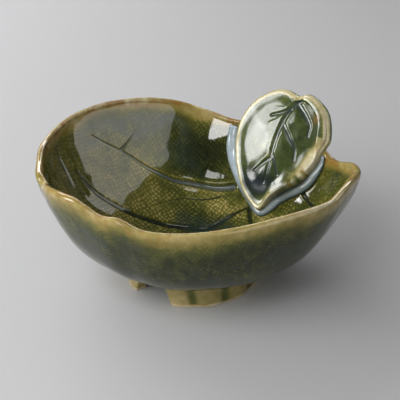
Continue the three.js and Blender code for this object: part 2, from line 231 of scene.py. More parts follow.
@dataclass(frozen=True)
class Grooves:
    """Grooves pressed into a face, each tapering from its wide end to its far end.

    Args:
        widths: The width of each groove at its wide end, in metres.
        lines: The points that each follows, in metres.
        fade: Share of its width that a groove keeps at its far end.
        sink: Depth of a groove, in its own radii.
        shoulder: Height of the low shoulder on both its sides, in its own radii.
        hollow_reach: How far the hollow reaches to each side, in its own radii.
        hollow_power: How flat the hollow's bottom is: the smaller, the flatter.
        shoulder_place: Where the shoulder's crest lies, in its own radii.
        shoulder_reach: How far the shoulder falls off, in its own radii.
    """

    widths: Sequence[float]
    lines: Sequence[Array]
    fade: float
    sink: float
    shoulder: float
    hollow_reach: float = 1.15
    hollow_power: float = 0.8
    shoulder_place: float = 1.55
    shoulder_reach: float = 0.42

    def measure(self, points: Array, reach: float) -> tuple[Array, Array, Array]:
        """How far points lie from the nearest groove, in its own radii.

        Args:
            points: Places in metres, one a row.
            reach: Points further than this from every groove are left out, in metres.

        Returns:
            For each point the distance in radii, the radius of that groove there, and which groove it is.
        """
        ratio = np.full(len(points), FAR)
        radius = np.zeros(len(points))
        which = np.zeros(len(points), int)
        for index, (width, line) in enumerate(zip(self.widths, self.lines)):
            low, high = line.min(axis=0) - reach, line.max(axis=0) + reach
            near = np.flatnonzero(((points > low) & (points < high)).all(axis=1))
            starts, steps = line[:-1], np.diff(line, axis=0)
            lengths = (steps**2).sum(axis=1)
            for part in np.array_split(near, len(near) // 2000 + 1):
                offset = points[part][:, None, :] - starts[None]
                along = np.clip((offset * steps[None]).sum(axis=2) / lengths, 0, 1)
                gap = np.linalg.norm(offset - along[..., None] * steps[None], axis=2)
                best = gap.argmin(axis=1)
                rows = np.arange(len(part))
                share = (best + along[rows, best]) / len(steps)
                here = width / 2 * (1 - (1 - self.fade) * share)
                found = gap[rows, best] / here
                nearer = found < ratio[part]
                ratio[part[nearer]] = found[nearer]
                radius[part[nearer]] = here[nearer]
                which[part[nearer]] = index
        return ratio, radius, which

    def profile(self, ratio: Array, radius: Array) -> Array:
        """Depth of the groove under the face, with a low shoulder on both its sides, in metres.

        Args:
            ratio: How far points lie from a groove, in its own radii.
            radius: The radius of that groove there.

        Returns:
            The depth at each point, which is negative on a shoulder.
        """
        inside = np.clip(1 - (ratio / self.hollow_reach) ** 2, 0, 1) ** self.hollow_power
        shoulder = bell(ratio, self.shoulder_place, self.shoulder_reach)
        return radius * (self.sink * inside - self.shoulder * shoulder)


@dataclass(frozen=True)
class BowlForm:
    """The bowl's wall as a formula: a pressed leaf on a wavy oval rim."""

    rim_length: float = 148 * MM
    rim_width: float = 128 * MM
    rim_height: float = 58 * MM
    floor_height: float = 5 * MM
    floor_thickness: float = 4.6 * MM
    lip_thickness: float = 3.6 * MM
    side_angle: float = 80.0
    belly_power: float = 1.27
    lip_flare: float = 0.8 * MM
    waist_start: float = 0.6
    # Bearing, and how far out of a level oval and up the lip lies there, in millimetres
    stations: Pairs = (
        (2, 1.2, -1.8), (14, -3.2, -7.2), (24, -5, -4.8), (42, -7, -4), (58, -7.6, -4.4), (72, -5.8, -4.2),
        (84, -2.6, -1.6), (97, 0.4, 2), (112, 1.8, 4.6), (130, 2, 5.8), (146, 2, 5), (160, 1.4, 2.4),
        (170, 0.6, 1.2), (178, -0.7, -0.8), (186, -1.2, -2), (191, -3, -3.6), (197, -1.6, -0.4),
        (206, -0.2, 3.2), (219, 0, 5.4), (226, 0, 3.8), (232, -0.2, 1.5), (240, -0.3, 2), (248, 0, -1.1),
        (256, 0.2, -1.8), (265, 0.1, -1.6), (273, 0, -0.9), (290, 0.2, 0.9), (308, 0.4, 2), (322, 0.4, 0.8),
        (331, 0.3, 0), (339, 0, 0.6), (348, 0.8, 0.4), (355, 2.4, -0.6),
    )

    def rim(self, bearing: Array) -> tuple[Array, Array]:
        """Radius and height of the lip at bearings, in metres.

        Args:
            bearing: Degrees round the bowl's axis.

        Returns:
            The radius, and the height over the table, at each bearing.
        """
        out, up = round_table(bearing, np.array(self.stations, float), 360).T * MM
        half_length, half_width = self.rim_length / 2, self.rim_width / 2
        angle = np.radians(bearing)
        oval = half_length * half_width / np.hypot(half_width * np.cos(angle), half_length * np.sin(angle))
        return oval + out, self.rim_height + up

    def thickness(self, share: Array) -> Array:
        """Thickness of the wall, which thins evenly from the floor to the lip."""
        return self.floor_thickness + (self.lip_thickness - self.floor_thickness) * share

    def wall(self, bearing: Array, share: Array, depth: Array) -> Array:
        """Points of the wall.

        Args:
            bearing: Degrees round the bowl's axis.
            share: 0 in the floor's middle and 1 at the lip.
            depth: How far under the outer face, in metres.

        Returns:
            Points round the bowl's own axis, one a row.
        """
        radius, height = self.rim(bearing)
        turn, full = np.radians(share * self.side_angle), math.radians(self.side_angle)
        rise = (1 - np.cos(turn)) / (1 - math.cos(full))
        climb = height - self.lip_thickness / 2 - self.floor_height
        past_waist = np.clip((share - self.waist_start) / (1 - self.waist_start), 0, 1)
        waist = self.lip_flare * np.sin(np.pi * past_waist) ** 2
        outwards = radius * np.cos(turn) / math.sin(full)
        steepening = self.belly_power * rise ** (self.belly_power - 1)
        upwards = climb * steepening * np.sin(turn) / (1 - math.cos(full))
        slope = np.hypot(outwards, upwards)
        reach = radius * np.sin(turn) / math.sin(full) - waist - depth * upwards / slope
        level = self.floor_height + climb * rise**self.belly_power + depth * outwards / slope
        angle = np.radians(bearing)
        return np.stack([reach * np.cos(angle), reach * np.sin(angle), level], axis=-1)

    def inner(self, bearing: Array, share: Array, lift: float = 0.0) -> Array:
        """Points of the inner face, or above it by a lift."""
        return self.wall(bearing, share, self.thickness(share) + lift)

    def lip(self, bearing: Array, turn: Array) -> Array:
        """Points of the half-round lip: turn is 0 at the outer face and 180 at the inner face.

        Args:
            bearing: Degrees round the bowl's axis.
            turn: Degrees over the lip.

        Returns:
            Points round the bowl's own axis, one a row.
        """
        top = np.ones_like(bearing)
        outer, inner = self.wall(bearing, top, 0 * top), self.inner(bearing, top)
        towards = (inner - outer) / 2
        angle, bend = np.radians(bearing), np.radians(turn)[:, None]
        around = np.stack([-np.sin(angle), np.cos(angle), 0 * angle], axis=-1)
        upwards = np.cross(towards, around)
        upwards *= np.where(upwards[:, 2:] < 0, -1, 1)
        return (outer + inner) / 2 - towards * np.cos(bend) + upwards * np.sin(bend)

    def underside(self, x: Array, y: Array) -> Array:
        """Height of the bowl's underside over places on the table, in metres.

        Args:
            x: How far each place lies to the right of the bowl's axis.
            y: How far it lies behind that axis.

        Returns:
            The height over each place.
        """
        radius, height = self.rim(np.degrees(np.arctan2(y, x)))
        full = math.radians(self.side_angle)
        turn = np.arcsin(np.clip(np.hypot(x, y) * math.sin(full) / radius, 0, 1))
        rise = (1 - np.cos(turn)) / (1 - math.cos(full))
        climb = height - self.lip_thickness / 2 - self.floor_height
        return self.floor_height + climb * rise**self.belly_power

    def arc(self, bearing: Array, share: Array) -> Array:
        """Length along the inner face from the floor's middle, in metres.

        Args:
            bearing: Degrees round the bowl's axis.
            share: 0 in the floor's middle and 1 at the lip.

        Returns:
            The length at each place, read from a table that is made once a call.
        """
        spacing = 5.0
        steps = np.linspace(0, 1, 41)
        rings = np.arange(0, 361, spacing)
        grid = self.inner(np.repeat(rings, len(steps)), np.tile(steps, len(rings)))
        grid = grid.reshape(len(rings), len(steps), 3)
        lengths = np.linalg.norm(np.diff(grid, axis=1), axis=2).cumsum(axis=1)
        table = np.hstack([np.zeros((len(rings), 1)), lengths])
        row, column = np.mod(bearing, 360) / spacing, np.clip(share, 0, 1) * (len(steps) - 1)
        i, j = row.astype(int), np.minimum(column.astype(int), len(steps) - 2)
        u, v = row - i, column - j
        near = table[i, j] * (1 - v) + table[i, j + 1] * v
        far = table[i + 1, j] * (1 - v) + table[i + 1, j + 1] * v
        return near * (1 - u) + far * u


def deselect_everything() -> None:
    if bpy.context.object and bpy.context.object.mode != "OBJECT":
        bpy.ops.object.mode_set(mode="OBJECT")
    bpy.ops.object.select_all(action="DESELECT")


def vectors(items: bpy.types.bpy_prop_collection, name: str) -> Array:
    """One vector that each item of a mesh holds under a name, one a row.

    Args:
        items: One list of the mesh, such as its vertices.
        name: What the vector is called there.

    Returns:
        The vectors, one a row.
    """
    flat = np.zeros(len(items) * 3, np.float32)
    items.foreach_get(name, flat)
    return flat.reshape(-1, 3).astype(float)


def places(piece: bpy.types.Object) -> Array:
    """The piece's vertices, one a row, in metres."""
    return vectors(piece.data.vertices, "co")


def normals(piece: bpy.types.Object) -> Array:
    """The piece's vertex normals, one a row."""
    return vectors(piece.data.vertex_normals, "vector")


def arms(piece: bpy.types.Object) -> Array:
    """How far each edge of the piece runs in each direction, one edge a row."""
    ends = np.array([list(edge.vertices) for edge in piece.data.edges])
    return np.abs(np.diff(places(piece)[ends], axis=1)[:, 0])


def press(piece: bpy.types.Object, points: Array) -> None:
    """Moves the piece's vertices to new places."""
    piece.data.vertices.foreach_set("co", points.astype(np.float32).ravel())
    piece.data.update()


def turn_outwards(piece: bpy.types.Object) -> None:
    """Turns all faces of a closed piece outwards.

    Args:
        piece: The piece.
    """
    deselect_everything()
    bpy.context.view_layer.objects.active = piece
    piece.select_set(True)
    bpy.ops.object.mode_set(mode="EDIT")
    bpy.ops.mesh.select_all(action="SELECT")
    bpy.ops.mesh.normals_make_consistent(inside=False)
    bpy.ops.object.mode_set(mode="OBJECT")


def select(piece: bpy.types.Object, element: Element, chosen: Array) -> None:
    """Selects the chosen elements of a piece, and enters edit mode.

    Args:
        piece: The piece, which is the active object.
        element: Whether they are vertices, edges or faces.
        chosen: Whether each of them is chosen.
    """
    bpy.ops.object.mode_set(mode="EDIT")
    bpy.ops.mesh.select_mode(type=element.name)
    bpy.ops.mesh.select_all(action="DESELECT")
    bpy.ops.object.mode_set(mode="OBJECT")
    getattr(piece.data, element.value).foreach_set("select", chosen)
    bpy.ops.object.mode_set(mode="EDIT")


def note(piece: bpy.types.Object, name: str, values: Array) -> None:
    """Keeps one number for each vertex as an attribute that the finish reads."""
    layer = piece.data.attributes.new(name, "FLOAT", "POINT")
    layer.data.foreach_set("value", np.asarray(values, np.float32))


def lay_cloth(piece: bpy.types.Object, flat: Array) -> None:
    """Keeps where the cloth lay on the clay as a UV map, in threads.

    Args:
        piece: The piece that it was pressed into.
        flat: The cloth's two coordinates at each vertex.
    """
    layer = piece.data.uv_layers.new(name=CLOTH_MAP)
    corner = np.zeros(len(piece.data.loops), np.int32)
    piece.data.loops.foreach_get("vertex_index", corner)
    layer.uv.foreach_set("vector", flat[corner].astype(np.float32).ravel())


def spun_slab(name: str, columns: int, upper: int, edge: int, under: int) -> bpy.types.Object:
    """A round slab of unit radius and height, with its profile spun about its axis.

    Args:
        name: The piece's name.
        columns: How many steps the spin takes.
        upper: Rows of its upper face.
        edge: Rows of its edge.
        under: Rows of its lower face.

    Returns:
        The slab, centred on the origin, as one closed mesh.
    """
    deselect_everything()
    bpy.ops.mesh.primitive_plane_add(size=0.1)
    piece = bpy.context.object
    piece.name = piece.data.name = name
    bpy.ops.object.mode_set(mode="EDIT")
    bpy.ops.mesh.select_mode(type="VERT")
    bpy.ops.mesh.select_all(action="SELECT")
    bpy.ops.mesh.merge(type="CENTER")
    bpy.ops.transform.translate(value=(0, 0, Side.UNDER.value))
    for step in ((1, 0, 0), (0, 0, 1), (-1, 0, 0)):
        bpy.ops.mesh.extrude_region_move(TRANSFORM_OT_translate={"value": step})
    bpy.ops.object.mode_set(mode="OBJECT")
    for rows, level in ((under, Side.UNDER.value), (upper, Side.UPPER.value)):
        select(piece, Element.VERT, np.isclose(places(piece)[:, 2], level))
        bpy.ops.mesh.subdivide(number_cuts=rows - 1)
        bpy.ops.object.mode_set(mode="OBJECT")
    select(piece, Element.VERT, np.isclose(places(piece)[:, 0], 1))
    bpy.ops.mesh.subdivide(number_cuts=edge - 1)
    bpy.ops.mesh.select_all(action="SELECT")
    bpy.ops.mesh.spin(steps=columns, angle=2 * math.pi, center=(0, 0, 0), axis=(0, 0, 1))
    bpy.ops.mesh.select_all(action="SELECT")
    bpy.ops.mesh.remove_doubles(threshold=1e-5)
    bpy.ops.object.mode_set(mode="OBJECT")
    return piece


def finish_piece(piece: bpy.types.Object, glaze: bpy.types.Material, slot: Slot, node: str) -> None:
    """Glazes and smooths a piece, puts it on the bowl and lets it stand for its solid.

    Args:
        piece: The shaped mesh.
        glaze: Its finish.
        slot: The record's slot for that finish.
        node: The solid of the frame that it stands for.
    """
    deselect_everything()
    piece.data.materials.append(glaze)
    piece.data.polygons.foreach_set("use_smooth", np.ones(len(piece.data.polygons), bool))
    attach(piece, "root")
    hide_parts(node)
    triangles = sum(len(face.vertices) - 2 for face in piece.data.polygons)
    LOG.info("%s: %d triangles in %s", piece.name, triangles, slot.value)


class NodeBoard:
    """Lays out the nodes of one finish."""

    def __init__(self, name: str) -> None:
        """Starts an empty finish with its output.

        Args:
            name: What the finish is called.
        """
        self.material = bpy.data.materials.new(name)
        self.material.use_nodes = True
        self.tree = self.material.node_tree
        self.tree.nodes.clear()
        self.output = self.tree.nodes.new("ShaderNodeOutputMaterial")

    def add(self, kind: str, inputs: Optional[dict] = None, **settings: object) -> bpy.types.Node:
        """Adds a node.

        Args:
            kind: The node's type, without its first words.
            inputs: What each of its sockets takes: another node's socket, or a plain value.
            settings: Its own settings.

        Returns:
            The node.
        """
        node = self.tree.nodes.new("ShaderNode" + kind)
        for key, value in settings.items():
            setattr(node, key, value)
        for key, value in (inputs or {}).items():
            self.feed(node.inputs[key], value)
        return node

    def feed(self, socket: bpy.types.NodeSocket, value: object) -> None:
        """Links a socket, or sets its value.

        Args:
            socket: The socket of a node.
            value: Another node's socket, or a plain value.
        """
        if isinstance(value, bpy.types.NodeSocket):
            self.tree.links.new(value, socket)
        else:
            socket.default_value = value

    def math(self, operation: str, *values: object) -> bpy.types.NodeSocket:
        """One step of arithmetic on sockets and numbers."""
        return self.add("Math", dict(enumerate(values)), operation=operation).outputs[0]

    def attribute(self, name: str) -> bpy.types.NodeSocket:
        """What the piece keeps under a name at each vertex."""
        return self.add("Attribute", attribute_name=name).outputs["Fac"]

    def noise(self, vector: bpy.types.NodeSocket, grain: Grain, output: str = "Fac") -> bpy.types.NodeSocket:
        """Uneven values round a half, or uneven colours.

        Args:
            vector: Where on the piece it is.
            grain: Which pattern it is.
            output: "Fac" for values and "Color" for colours.

        Returns:
            The pattern.
        """
        scale, detail = grain.value
        return self.add("TexNoise", {"Vector": vector, "Scale": scale, "Detail": detail}).outputs[output]

    def wander(self, vector: bpy.types.NodeSocket, grain: Grain, size: float) -> bpy.types.NodeSocket:
        """Uneven values round 0, of that size."""
        return self.math("MULTIPLY_ADD", self.noise(vector, grain), size, -size / 2)

    def between(
        self, value: object, low: float, high: float, start: float = 0.0, end: float = 1.0
    ) -> bpy.types.NodeSocket:
        """Start where a value is under low, end where it is over high, and a smooth change between them."""
        inputs = {"Value": value, "From Min": low, "From Max": high, "To Min": start, "To Max": end}
        return self.add("MapRange", inputs, interpolation_type="SMOOTHSTEP").outputs["Result"]

    def blend(self, share: object, first: object, second: object) -> bpy.types.NodeSocket:
        """One colour over another.

        Args:
            share: How much of the second shows.
            first: The colour below.
            second: The colour over it.

        Returns:
            The mixed colour.
        """
        node = self.add("Mix", data_type="RGBA")
        for index, value in ((0, share), (6, first), (7, second)):
            self.feed(node.inputs[index], value)
        return node.outputs[2]

    def ramp(self, value: object, stops: Sequence[tuple[float, Sequence[float]]]) -> bpy.types.NodeSocket:
        """Colours along a value.

        Args:
            value: Where along the ramp it is.
            stops: Places from 0 to 1, with colours.

        Returns:
            The colour.
        """
        node = self.add("ValToRGB", {"Fac": value})
        elements = node.color_ramp.elements
        while len(elements) < len(stops):
            elements.new(0.5)
        for element, (place, colour) in zip(elements, stops):
            element.position = place
            element.color = (*colour, 1)
        return node.outputs["Color"]

    def bump(self, height: object, distance: float) -> bpy.types.NodeSocket:
        """The normal over a relief of that height in metres."""
        return self.add("Bump", {"Height": height, "Distance": distance}).outputs["Normal"]


def srgb(red: int, green: int, blue: int) -> tuple[float, float, float]:
    """A colour as the eye reads it on a screen, turned to the renderer's own scale."""
    values = (np.array([red, green, blue]) / 255.0).tolist()
    return tuple(v / 12.92 if v <= 0.04045 else ((v + 0.055) / 1.055) ** 2.4 for v in values)


@dataclass(frozen=True)
class Glaze:
    """A transparent glaze over clay: pale where it runs thin, dark where it lies deep, milky where it pooled.

    Args:
        name: What the finish is called.
        stops: Its colour from bare clay at 0 to its deepest pool at 1.
        milk: Colour of the glaze that pooled in veins and joints; on the roll's crown it is partly a painted
            highlight.
        haze: Colour of the cloudy streaks in it.
        haze_share: How much of the surface is cloudy.
        unevenness: How much its depth wanders over a few centimetres.
        speckle: How much its depth wanders over a few millimetres.
        run_depth: How much its depth wanders from one run to the next, on steep walls.
        run_squeeze: How much slower its runs change upwards than sideways, so that they are drawn out.
        print_depth: How much deeper it lies in the print of a thread.
        print_level: Share of the print's height at which it lies as deep as elsewhere.
        print_relief: Depth of that print in the clay, in metres.
        surface_print: Share of that relief that still shows in the surface of the glaze.
        cloth_drag: How far the cloth was dragged out of line, in threads.
        fine_print: How much of the print shows the finer threads between the others.
        rust: Colour of the iron spots where it ran thin.
        sheen: Roughness of its surface.
        coat_index: How strongly its surface bends light, which sets how much it mirrors.
        body_roughness: Roughness of the clay under it.
    """

    name: str
    stops: Sequence[tuple[float, tuple[int, int, int]]]
    milk: tuple[int, int, int] = (92, 106, 114)
    haze: tuple[int, int, int] = (92, 100, 104)
    haze_share: float = 0.35
    unevenness: float = 0.5
    speckle: float = 0.3
    run_depth: float = 0.4
    run_squeeze: float = 0.12
    print_depth: float = 0.5
    print_level: float = 0.3
    print_relief: float = 0.06 * MM
    surface_print: float = 0.1
    cloth_drag: float = 2.6
    fine_print: float = 0.3
    rust: tuple[int, int, int] = (156, 118, 56)
    sheen: float = 0.04
    coat_index: float = 1.42
    body_roughness: float = 0.35

    def material(self) -> bpy.types.Material:
        """The finish as nodes.

        Returns:
            The material.
        """
        board = NodeBoard(self.name)
        cloth = board.add("UVMap", uv_map=CLOTH_MAP).outputs["UV"]
        place = board.add("TexCoord").outputs["Object"]
        weave = self.weave(board, cloth)
        depth = self.depth(board, place, weave)
        colour = board.ramp(depth, [(at, srgb(*shade)) for at, shade in self.stops])
        cloudy = board.between(board.noise(place, Grain.HAZE), 0.48, 0.68, 0.0, self.haze_share)
        cloudy = board.math("MULTIPLY", cloudy, board.between(board.attribute("depth"), 0.4, 0.6))
        colour = board.blend(cloudy, colour, (*srgb(*self.haze), 1))
        spotted = board.between(board.noise(place, Grain.IRON), 0.35, 0.6)
        rusty = board.math("MULTIPLY", board.attribute("rust"), spotted)
        colour = board.blend(rusty, colour, (*srgb(*self.rust), 1))
        streak = board.between(board.noise(place, Grain.MILK), 0.3, 0.7, 0.7, 1.0)
        pooled = board.math("MULTIPLY", board.attribute("pool"), streak)
        colour = board.blend(pooled, colour, (*srgb(*self.milk), 1))
        height = board.math("MULTIPLY", weave, board.attribute("cloth"))
        shader = board.add("BsdfPrincipled", {
            "Base Color": colour,
            "Roughness": self.body_roughness,
            "Specular IOR Level": 0.0,
            "Coat Weight": 1.0,
            "Coat Roughness": self.sheen,
            "Coat IOR": self.coat_index,
            "Normal": board.bump(height, self.print_relief),
            "Coat Normal": board.bump(height, self.print_relief * self.surface_print),
        })
        board.tree.links.new(shader.outputs[0], board.output.inputs["Surface"])
        return board.material

    def weave(self, board: NodeBoard, cloth: bpy.types.NodeSocket) -> bpy.types.NodeSocket:
        """How high the clay stands between the threads, from 0 in a thread's print to 1.

        Args:
            board: The board that it is laid out on.
            cloth: Where on the cloth it is, in threads.

        Returns:
            The height.
        """
        waver = board.noise(cloth, Grain.CLOTH_DRAG, "Color")
        centred = board.add("VectorMath", {0: waver, 1: (0.5, 0.5, 0.5)}, operation="SUBTRACT").outputs[0]
        shift = board.add("VectorMath", {0: centred, "Scale": self.cloth_drag}, operation="SCALE").outputs[0]
        moved = board.add("VectorMath", {0: cloth, 1: shift}, operation="ADD").outputs[0]
        parts = board.add("SeparateXYZ", {0: moved})
        waves = []
        for part in parts.outputs[:2]:
            wave = board.math("SINE", board.math("MULTIPLY", part, 2 * math.pi))
            waves.append(board.math("MULTIPLY_ADD", wave, 0.5, 0.5))
        bumps = board.math("POWER", board.math("MULTIPLY", *waves), 0.5)
        fine = board.math("SINE", board.math("MULTIPLY", parts.outputs[1], 4 * math.pi))
        fine = board.math("MULTIPLY_ADD", fine, self.fine_print, 1 - self.fine_print)
        bumps = board.math("MULTIPLY", bumps, fine)
        print_strength = board.between(board.noise(cloth, Grain.CLOTH_PRESS), 0.3, 0.62, 0.25, 1.0)
        return board.math("MULTIPLY", bumps, print_strength)

    def depth(
        self, board: NodeBoard, place: bpy.types.NodeSocket, weave: bpy.types.NodeSocket
    ) -> bpy.types.NodeSocket:
        """How deep the glaze lies, from 0 for bare clay to 1 for a dark pool.

        Args:
            board: The board that it is laid out on.
            place: Where on the bowl it is.
            weave: How high the clay stands between the threads' prints.

        Returns:
            The depth.
        """
        depth = board.attribute("depth")
        for grain, size in ((Grain.DEPTH, self.unevenness), (Grain.SPECKLE, self.speckle)):
            depth = board.math("ADD", depth, board.wander(place, grain, size))
        squeeze = (1, 1, self.run_squeeze)
        drawn_out = board.add("Mapping", {"Vector": place, "Scale": squeeze}).outputs["Vector"]
        runs = board.wander(drawn_out, Grain.RUNS, self.run_depth)
        depth = board.math("ADD", depth, board.math("MULTIPLY", runs, board.attribute("runs")))
        print_here = board.math("MULTIPLY_ADD", weave, -self.print_depth, self.print_level * self.print_depth)
        return board.math("ADD", depth, board.math("MULTIPLY", board.attribute("cloth"), print_here))


GREEN_GLAZE = Glaze("green_glaze", (
    (0.0, (214, 204, 160)),
    (0.14, (188, 168, 106)),
    (0.3, (150, 138, 72)),
    (0.5, (96, 98, 42)),
    (0.72, (52, 58, 22)),
    (1.0, (18, 20, 8)),
), milk=(96, 106, 108), haze=(50, 66, 56), haze_share=0.5)
LEAF_GLAZE = Glaze("leaf_glaze", (
    (0.0, (232, 222, 180)),
    (0.16, (204, 190, 138)),
    (0.34, (142, 140, 84)),
    (0.55, (84, 96, 48)),
    (0.8, (50, 62, 28)),
    (1.0, (26, 32, 20)),
), milk=(52, 64, 74), haze=(66, 78, 52), unevenness=0.25, speckle=0.45, print_depth=0.3, sheen=0.15)
# Its near-white milk on the roll's crown is partly a painted highlight
POOLED_GLAZE = Glaze("pooled_glaze", (
    (0.0, (170, 168, 128)),
    (0.4, (110, 118, 88)),
    (0.7, (72, 88, 88)),
    (1.0, (38, 48, 52)),
), milk=(212, 228, 242), haze_share=0.2, speckle=0.2, print_depth=0.0, sheen=0.08)
FOOT_GLAZE = Glaze("foot_glaze", (
    (0.0, (220, 204, 168)),
    (0.2, (204, 184, 132)),
    (0.42, (158, 146, 86)),
    (0.65, (104, 108, 52)),
    (1.0, (44, 54, 26)),
), print_depth=0.0, haze_share=0.0, sheen=0.1)


@dataclass(frozen=True)
class BowlDepths:
    """How deep the green glaze lies on the bowl, from 0 for bare clay to 1, and what each zone adds to it;
    the back wall and the floor's middle are darkened as painted shade, and the left wall and a patch on the
    right are made paler as painted reflection.
    """

    outside: float = 0.7
    outer_lip: float = -0.52
    wiped_ring: float = -0.1
    inside: float = 0.56
    inner_lip: float = -0.34
    # Painted shade: darker glaze high on the back wall
    painted_shade_wall: float = 0.22
    # Painted reflection: paler glaze on the left wall, where the screen soft box's reflection lies
    painted_reflection_wall: float = -0.14
    # Painted shade: darker in the floor's middle, where the front wall shades it
    floor: float = 0.08
    slope: float = -0.17
    # Painted reflection: a paler patch on the right of the floor
    painted_glow: float = -0.16
    vein: float = 0.5
    vein_shoulder: float = -0.2


@dataclass(frozen=True)
class Bowl:
    """The big leaf: a pressed shell with its lip, its veins and the print of the cloth."""

    form: BowlForm
    columns: int = 384
    inner_rows: int = 90
    lip_rows: int = 12
    outer_rows: int = 50
    vein_cuts: int = 2
    vein_reach: float = 2.6 * MM
    vein_fade: float = 0.2
    vein_sink: float = 0.7
    vein_shoulder: float = 0.1
    groove_reach: float = 6 * MM
    sag: float = 0.22 * MM
    floor_sag: float = 0.35
    flare_start: float = 0.66
    outer_flare: float = 0.4
    # Degrees over the lip up to which a point still counts as on a face
    face_turn: float = 0.5
    cloth_turn: float = 45.0
    depths: BowlDepths = BowlDepths()
    # How far down from the lip the glaze runs thin, and the height and width of the wiped ring over the foot
    lip_run: float = 5.5 * MM
    wiped_ring: tuple[float, float] = (10 * MM, 1.2 * MM)
    # Zones of the inner face: by bearing, by share of the way up, or by the way down from the lip
    # Painted reflection on the left wall, by bearing
    painted_reflection_wall: Zone = Zone(100, 120, 190, 215)
    # Painted shade high on the back wall: its bearing and width, and the band up the wall where it lies
    painted_shade_wall: tuple[float, float] = (86, 13)
    painted_shade_band: Zone = Zone(0.6, 0.7, 0.84, 0.95)
    slope: tuple[float, float] = (0.48, 0.09)
    # Where the floor's middle is darkened as painted shade
    floor: tuple[float, float] = (0.24, 0.4)
    # A paler patch of painted reflection on the right, by bearing and share
    painted_glow: Patch = Patch((68, 0.5), (18, 0.1))
    clouded_wall: Zone = Zone(90, 104, 138, 156)
    clouded_band: Zone = Zone(4 * MM, 8 * MM, 14 * MM, 22 * MM)
    # Bearing, and how far the inner face leans out at the lip in millimetres
    flares: Pairs = (
        (0, 0), (30, 0.5), (52, 2.2), (64, 3.2), (74, 2.4), (90, 1.6), (110, 2), (150, 2), (172, 0.8),
        (190, 0), (270, 0),
    )
    # Width of each vein, how milky the glaze in it is, and its line as bearings and shares
    veins: Sequence[tuple[float, float, Pairs]] = (
        (3.8, 0.75, ((64, 0.64), (90, 0.59), (103, 0.6), (114, 0.66), (127, 0.78), (140, 0.9))),
        (4.4, 0.05, ((119, 0.29), (142, 0.46), (151, 0.64), (155, 0.8))),
        (4.4, 0.05, ((119, 0.29), (76, 0.27), (55, 0.44), (47, 0.52))),
        (2.8, 0.05, ((46, 0.52), (34, 0.41), (10, 0.4), (348, 0.52), (335, 0.72))),
        (2.6, 0.2, ((76, 0.27), (40, 0.12), (290, 0.2), (272, 0.45), (266, 0.72))),
        (2.4, 0.2, ((23, 0.76), (9, 0.72), (355, 0.78))),
        (1.2, 0.1, ((71, 0.55), (86, 0.49), (99, 0.48), (119, 0.46))),
        (1.4, 0.5, ((128, 0.8), (118, 0.88))),
        (2, 0.1, ((162, 0.76), (161, 0.86), (161, 0.96))),
    )

    def grooves(self) -> Grooves:
        """The veins as grooves of the inner face, round the bowl's own axis.

        Returns:
            The grooves.
        """
        lines = []
        for _, _, path in self.veins:
            stops = np.array(path, float)
            angle = np.radians(stops[:, 0])
            disc = stops[:, 1:] * np.stack([np.cos(angle), np.sin(angle)], axis=1)
            disc = smooth_path(disc, 10)
            bearing = np.degrees(np.arctan2(disc[:, 1], disc[:, 0]))
            lines.append(self.form.inner(bearing, np.hypot(disc[:, 0], disc[:, 1])))
        widths = [vein[0] * MM for vein in self.veins]
        return Grooves(widths, lines, self.vein_fade, self.vein_sink, self.vein_shoulder)

    def pressed(self, flat: Array) -> tuple[Array, Array, Array, Array]:
        """Where points of the slab come to lie once it is pressed into the mould.

        Args:
            flat: Points of the round slab.

        Returns:
            The points of the bowl, and the bearing, share and lip turn of each: 0 outside and 180 inside.
        """
        bearing = np.degrees(np.arctan2(flat[:, 1], flat[:, 0]))
        share = np.clip(np.hypot(flat[:, 0], flat[:, 1]), 0, 1)
        turn = (flat[:, 2] - Side.UNDER.value) * 180
        inside = self.form.inner(bearing, share)
        outside = self.form.wall(bearing, share, 0 * share)
        lip = self.form.lip(bearing, turn)
        on_lip = ((turn > self.face_turn) & (turn < 180 - self.face_turn))[:, None]
        points = np.where(on_lip, lip, np.where((turn > 90)[:, None], inside, outside))
        return points, bearing, share, turn

    def build(self, axis: Vector) -> bpy.types.Object:
        """Makes the bowl.

        Args:
            axis: Where the bowl's own axis meets the table.

        Returns:
            The finished mesh.
        """
        piece = spun_slab("bowl", self.columns, self.inner_rows, self.lip_rows, self.outer_rows)
        grooves = self.grooves()
        self.refine(piece, grooves)
        points, bearing, share, turn = self.pressed(places(piece))
        inside = turn > 90
        ratio, radius, which = grooves.measure(points, self.groove_reach)
        ratio[~inside] = FAR
        milk = np.array([vein[1] for vein in self.veins])[which]
        press(piece, points)
        turn_outwards(piece)
        outwards = normals(piece)
        relief = -grooves.profile(ratio, radius) * inside
        sagging = self.floor_sag + (1 - self.floor_sag) * smoothstep(share, 0, 0.3)
        relief += self.sag * ripple(points, Unevenness.BOWL_SAG) * sagging
        relief += 0.5 * self.sag * ripple(points, Unevenness.BOWL_DIMPLES)
        leaning = self.flared(bearing, share, turn)
        press(piece, points + outwards * relief[:, None] + leaning + np.array([axis.x, axis.y, 0]))
        self.annotate(piece, points, bearing, share, turn, ratio, milk)
        return piece

    def dress(self, piece: bpy.types.Object) -> None:
        """Glazes the bowl and lets it stand for its solid."""
        finish_piece(piece, GREEN_GLAZE.material(), Slot.GREEN, "bowl_body")

    def flared(self, bearing: Array, share: Array, turn: Array) -> Array:
        """How far the back wall leans out towards its lip, more on its inner face than outside.

        Args:
            bearing: Degrees round the bowl's axis.
            share: How far up the wall each place is.
            turn: How far round the lip it is: 0 outside and 180 inside.

        Returns:
            The way that each place moves, one a row.
        """
        lean = round_table(bearing, np.array(self.flares, float), 360)[:, 0] * MM
        out = lean * np.clip((share - self.flare_start) / (1 - self.flare_start), 0, 1) ** 2
        out *= self.outer_flare + (1 - self.outer_flare) * turn / 180
        angle = np.radians(bearing)
        return np.stack([out * np.cos(angle), out * np.sin(angle), 0 * out], axis=1)

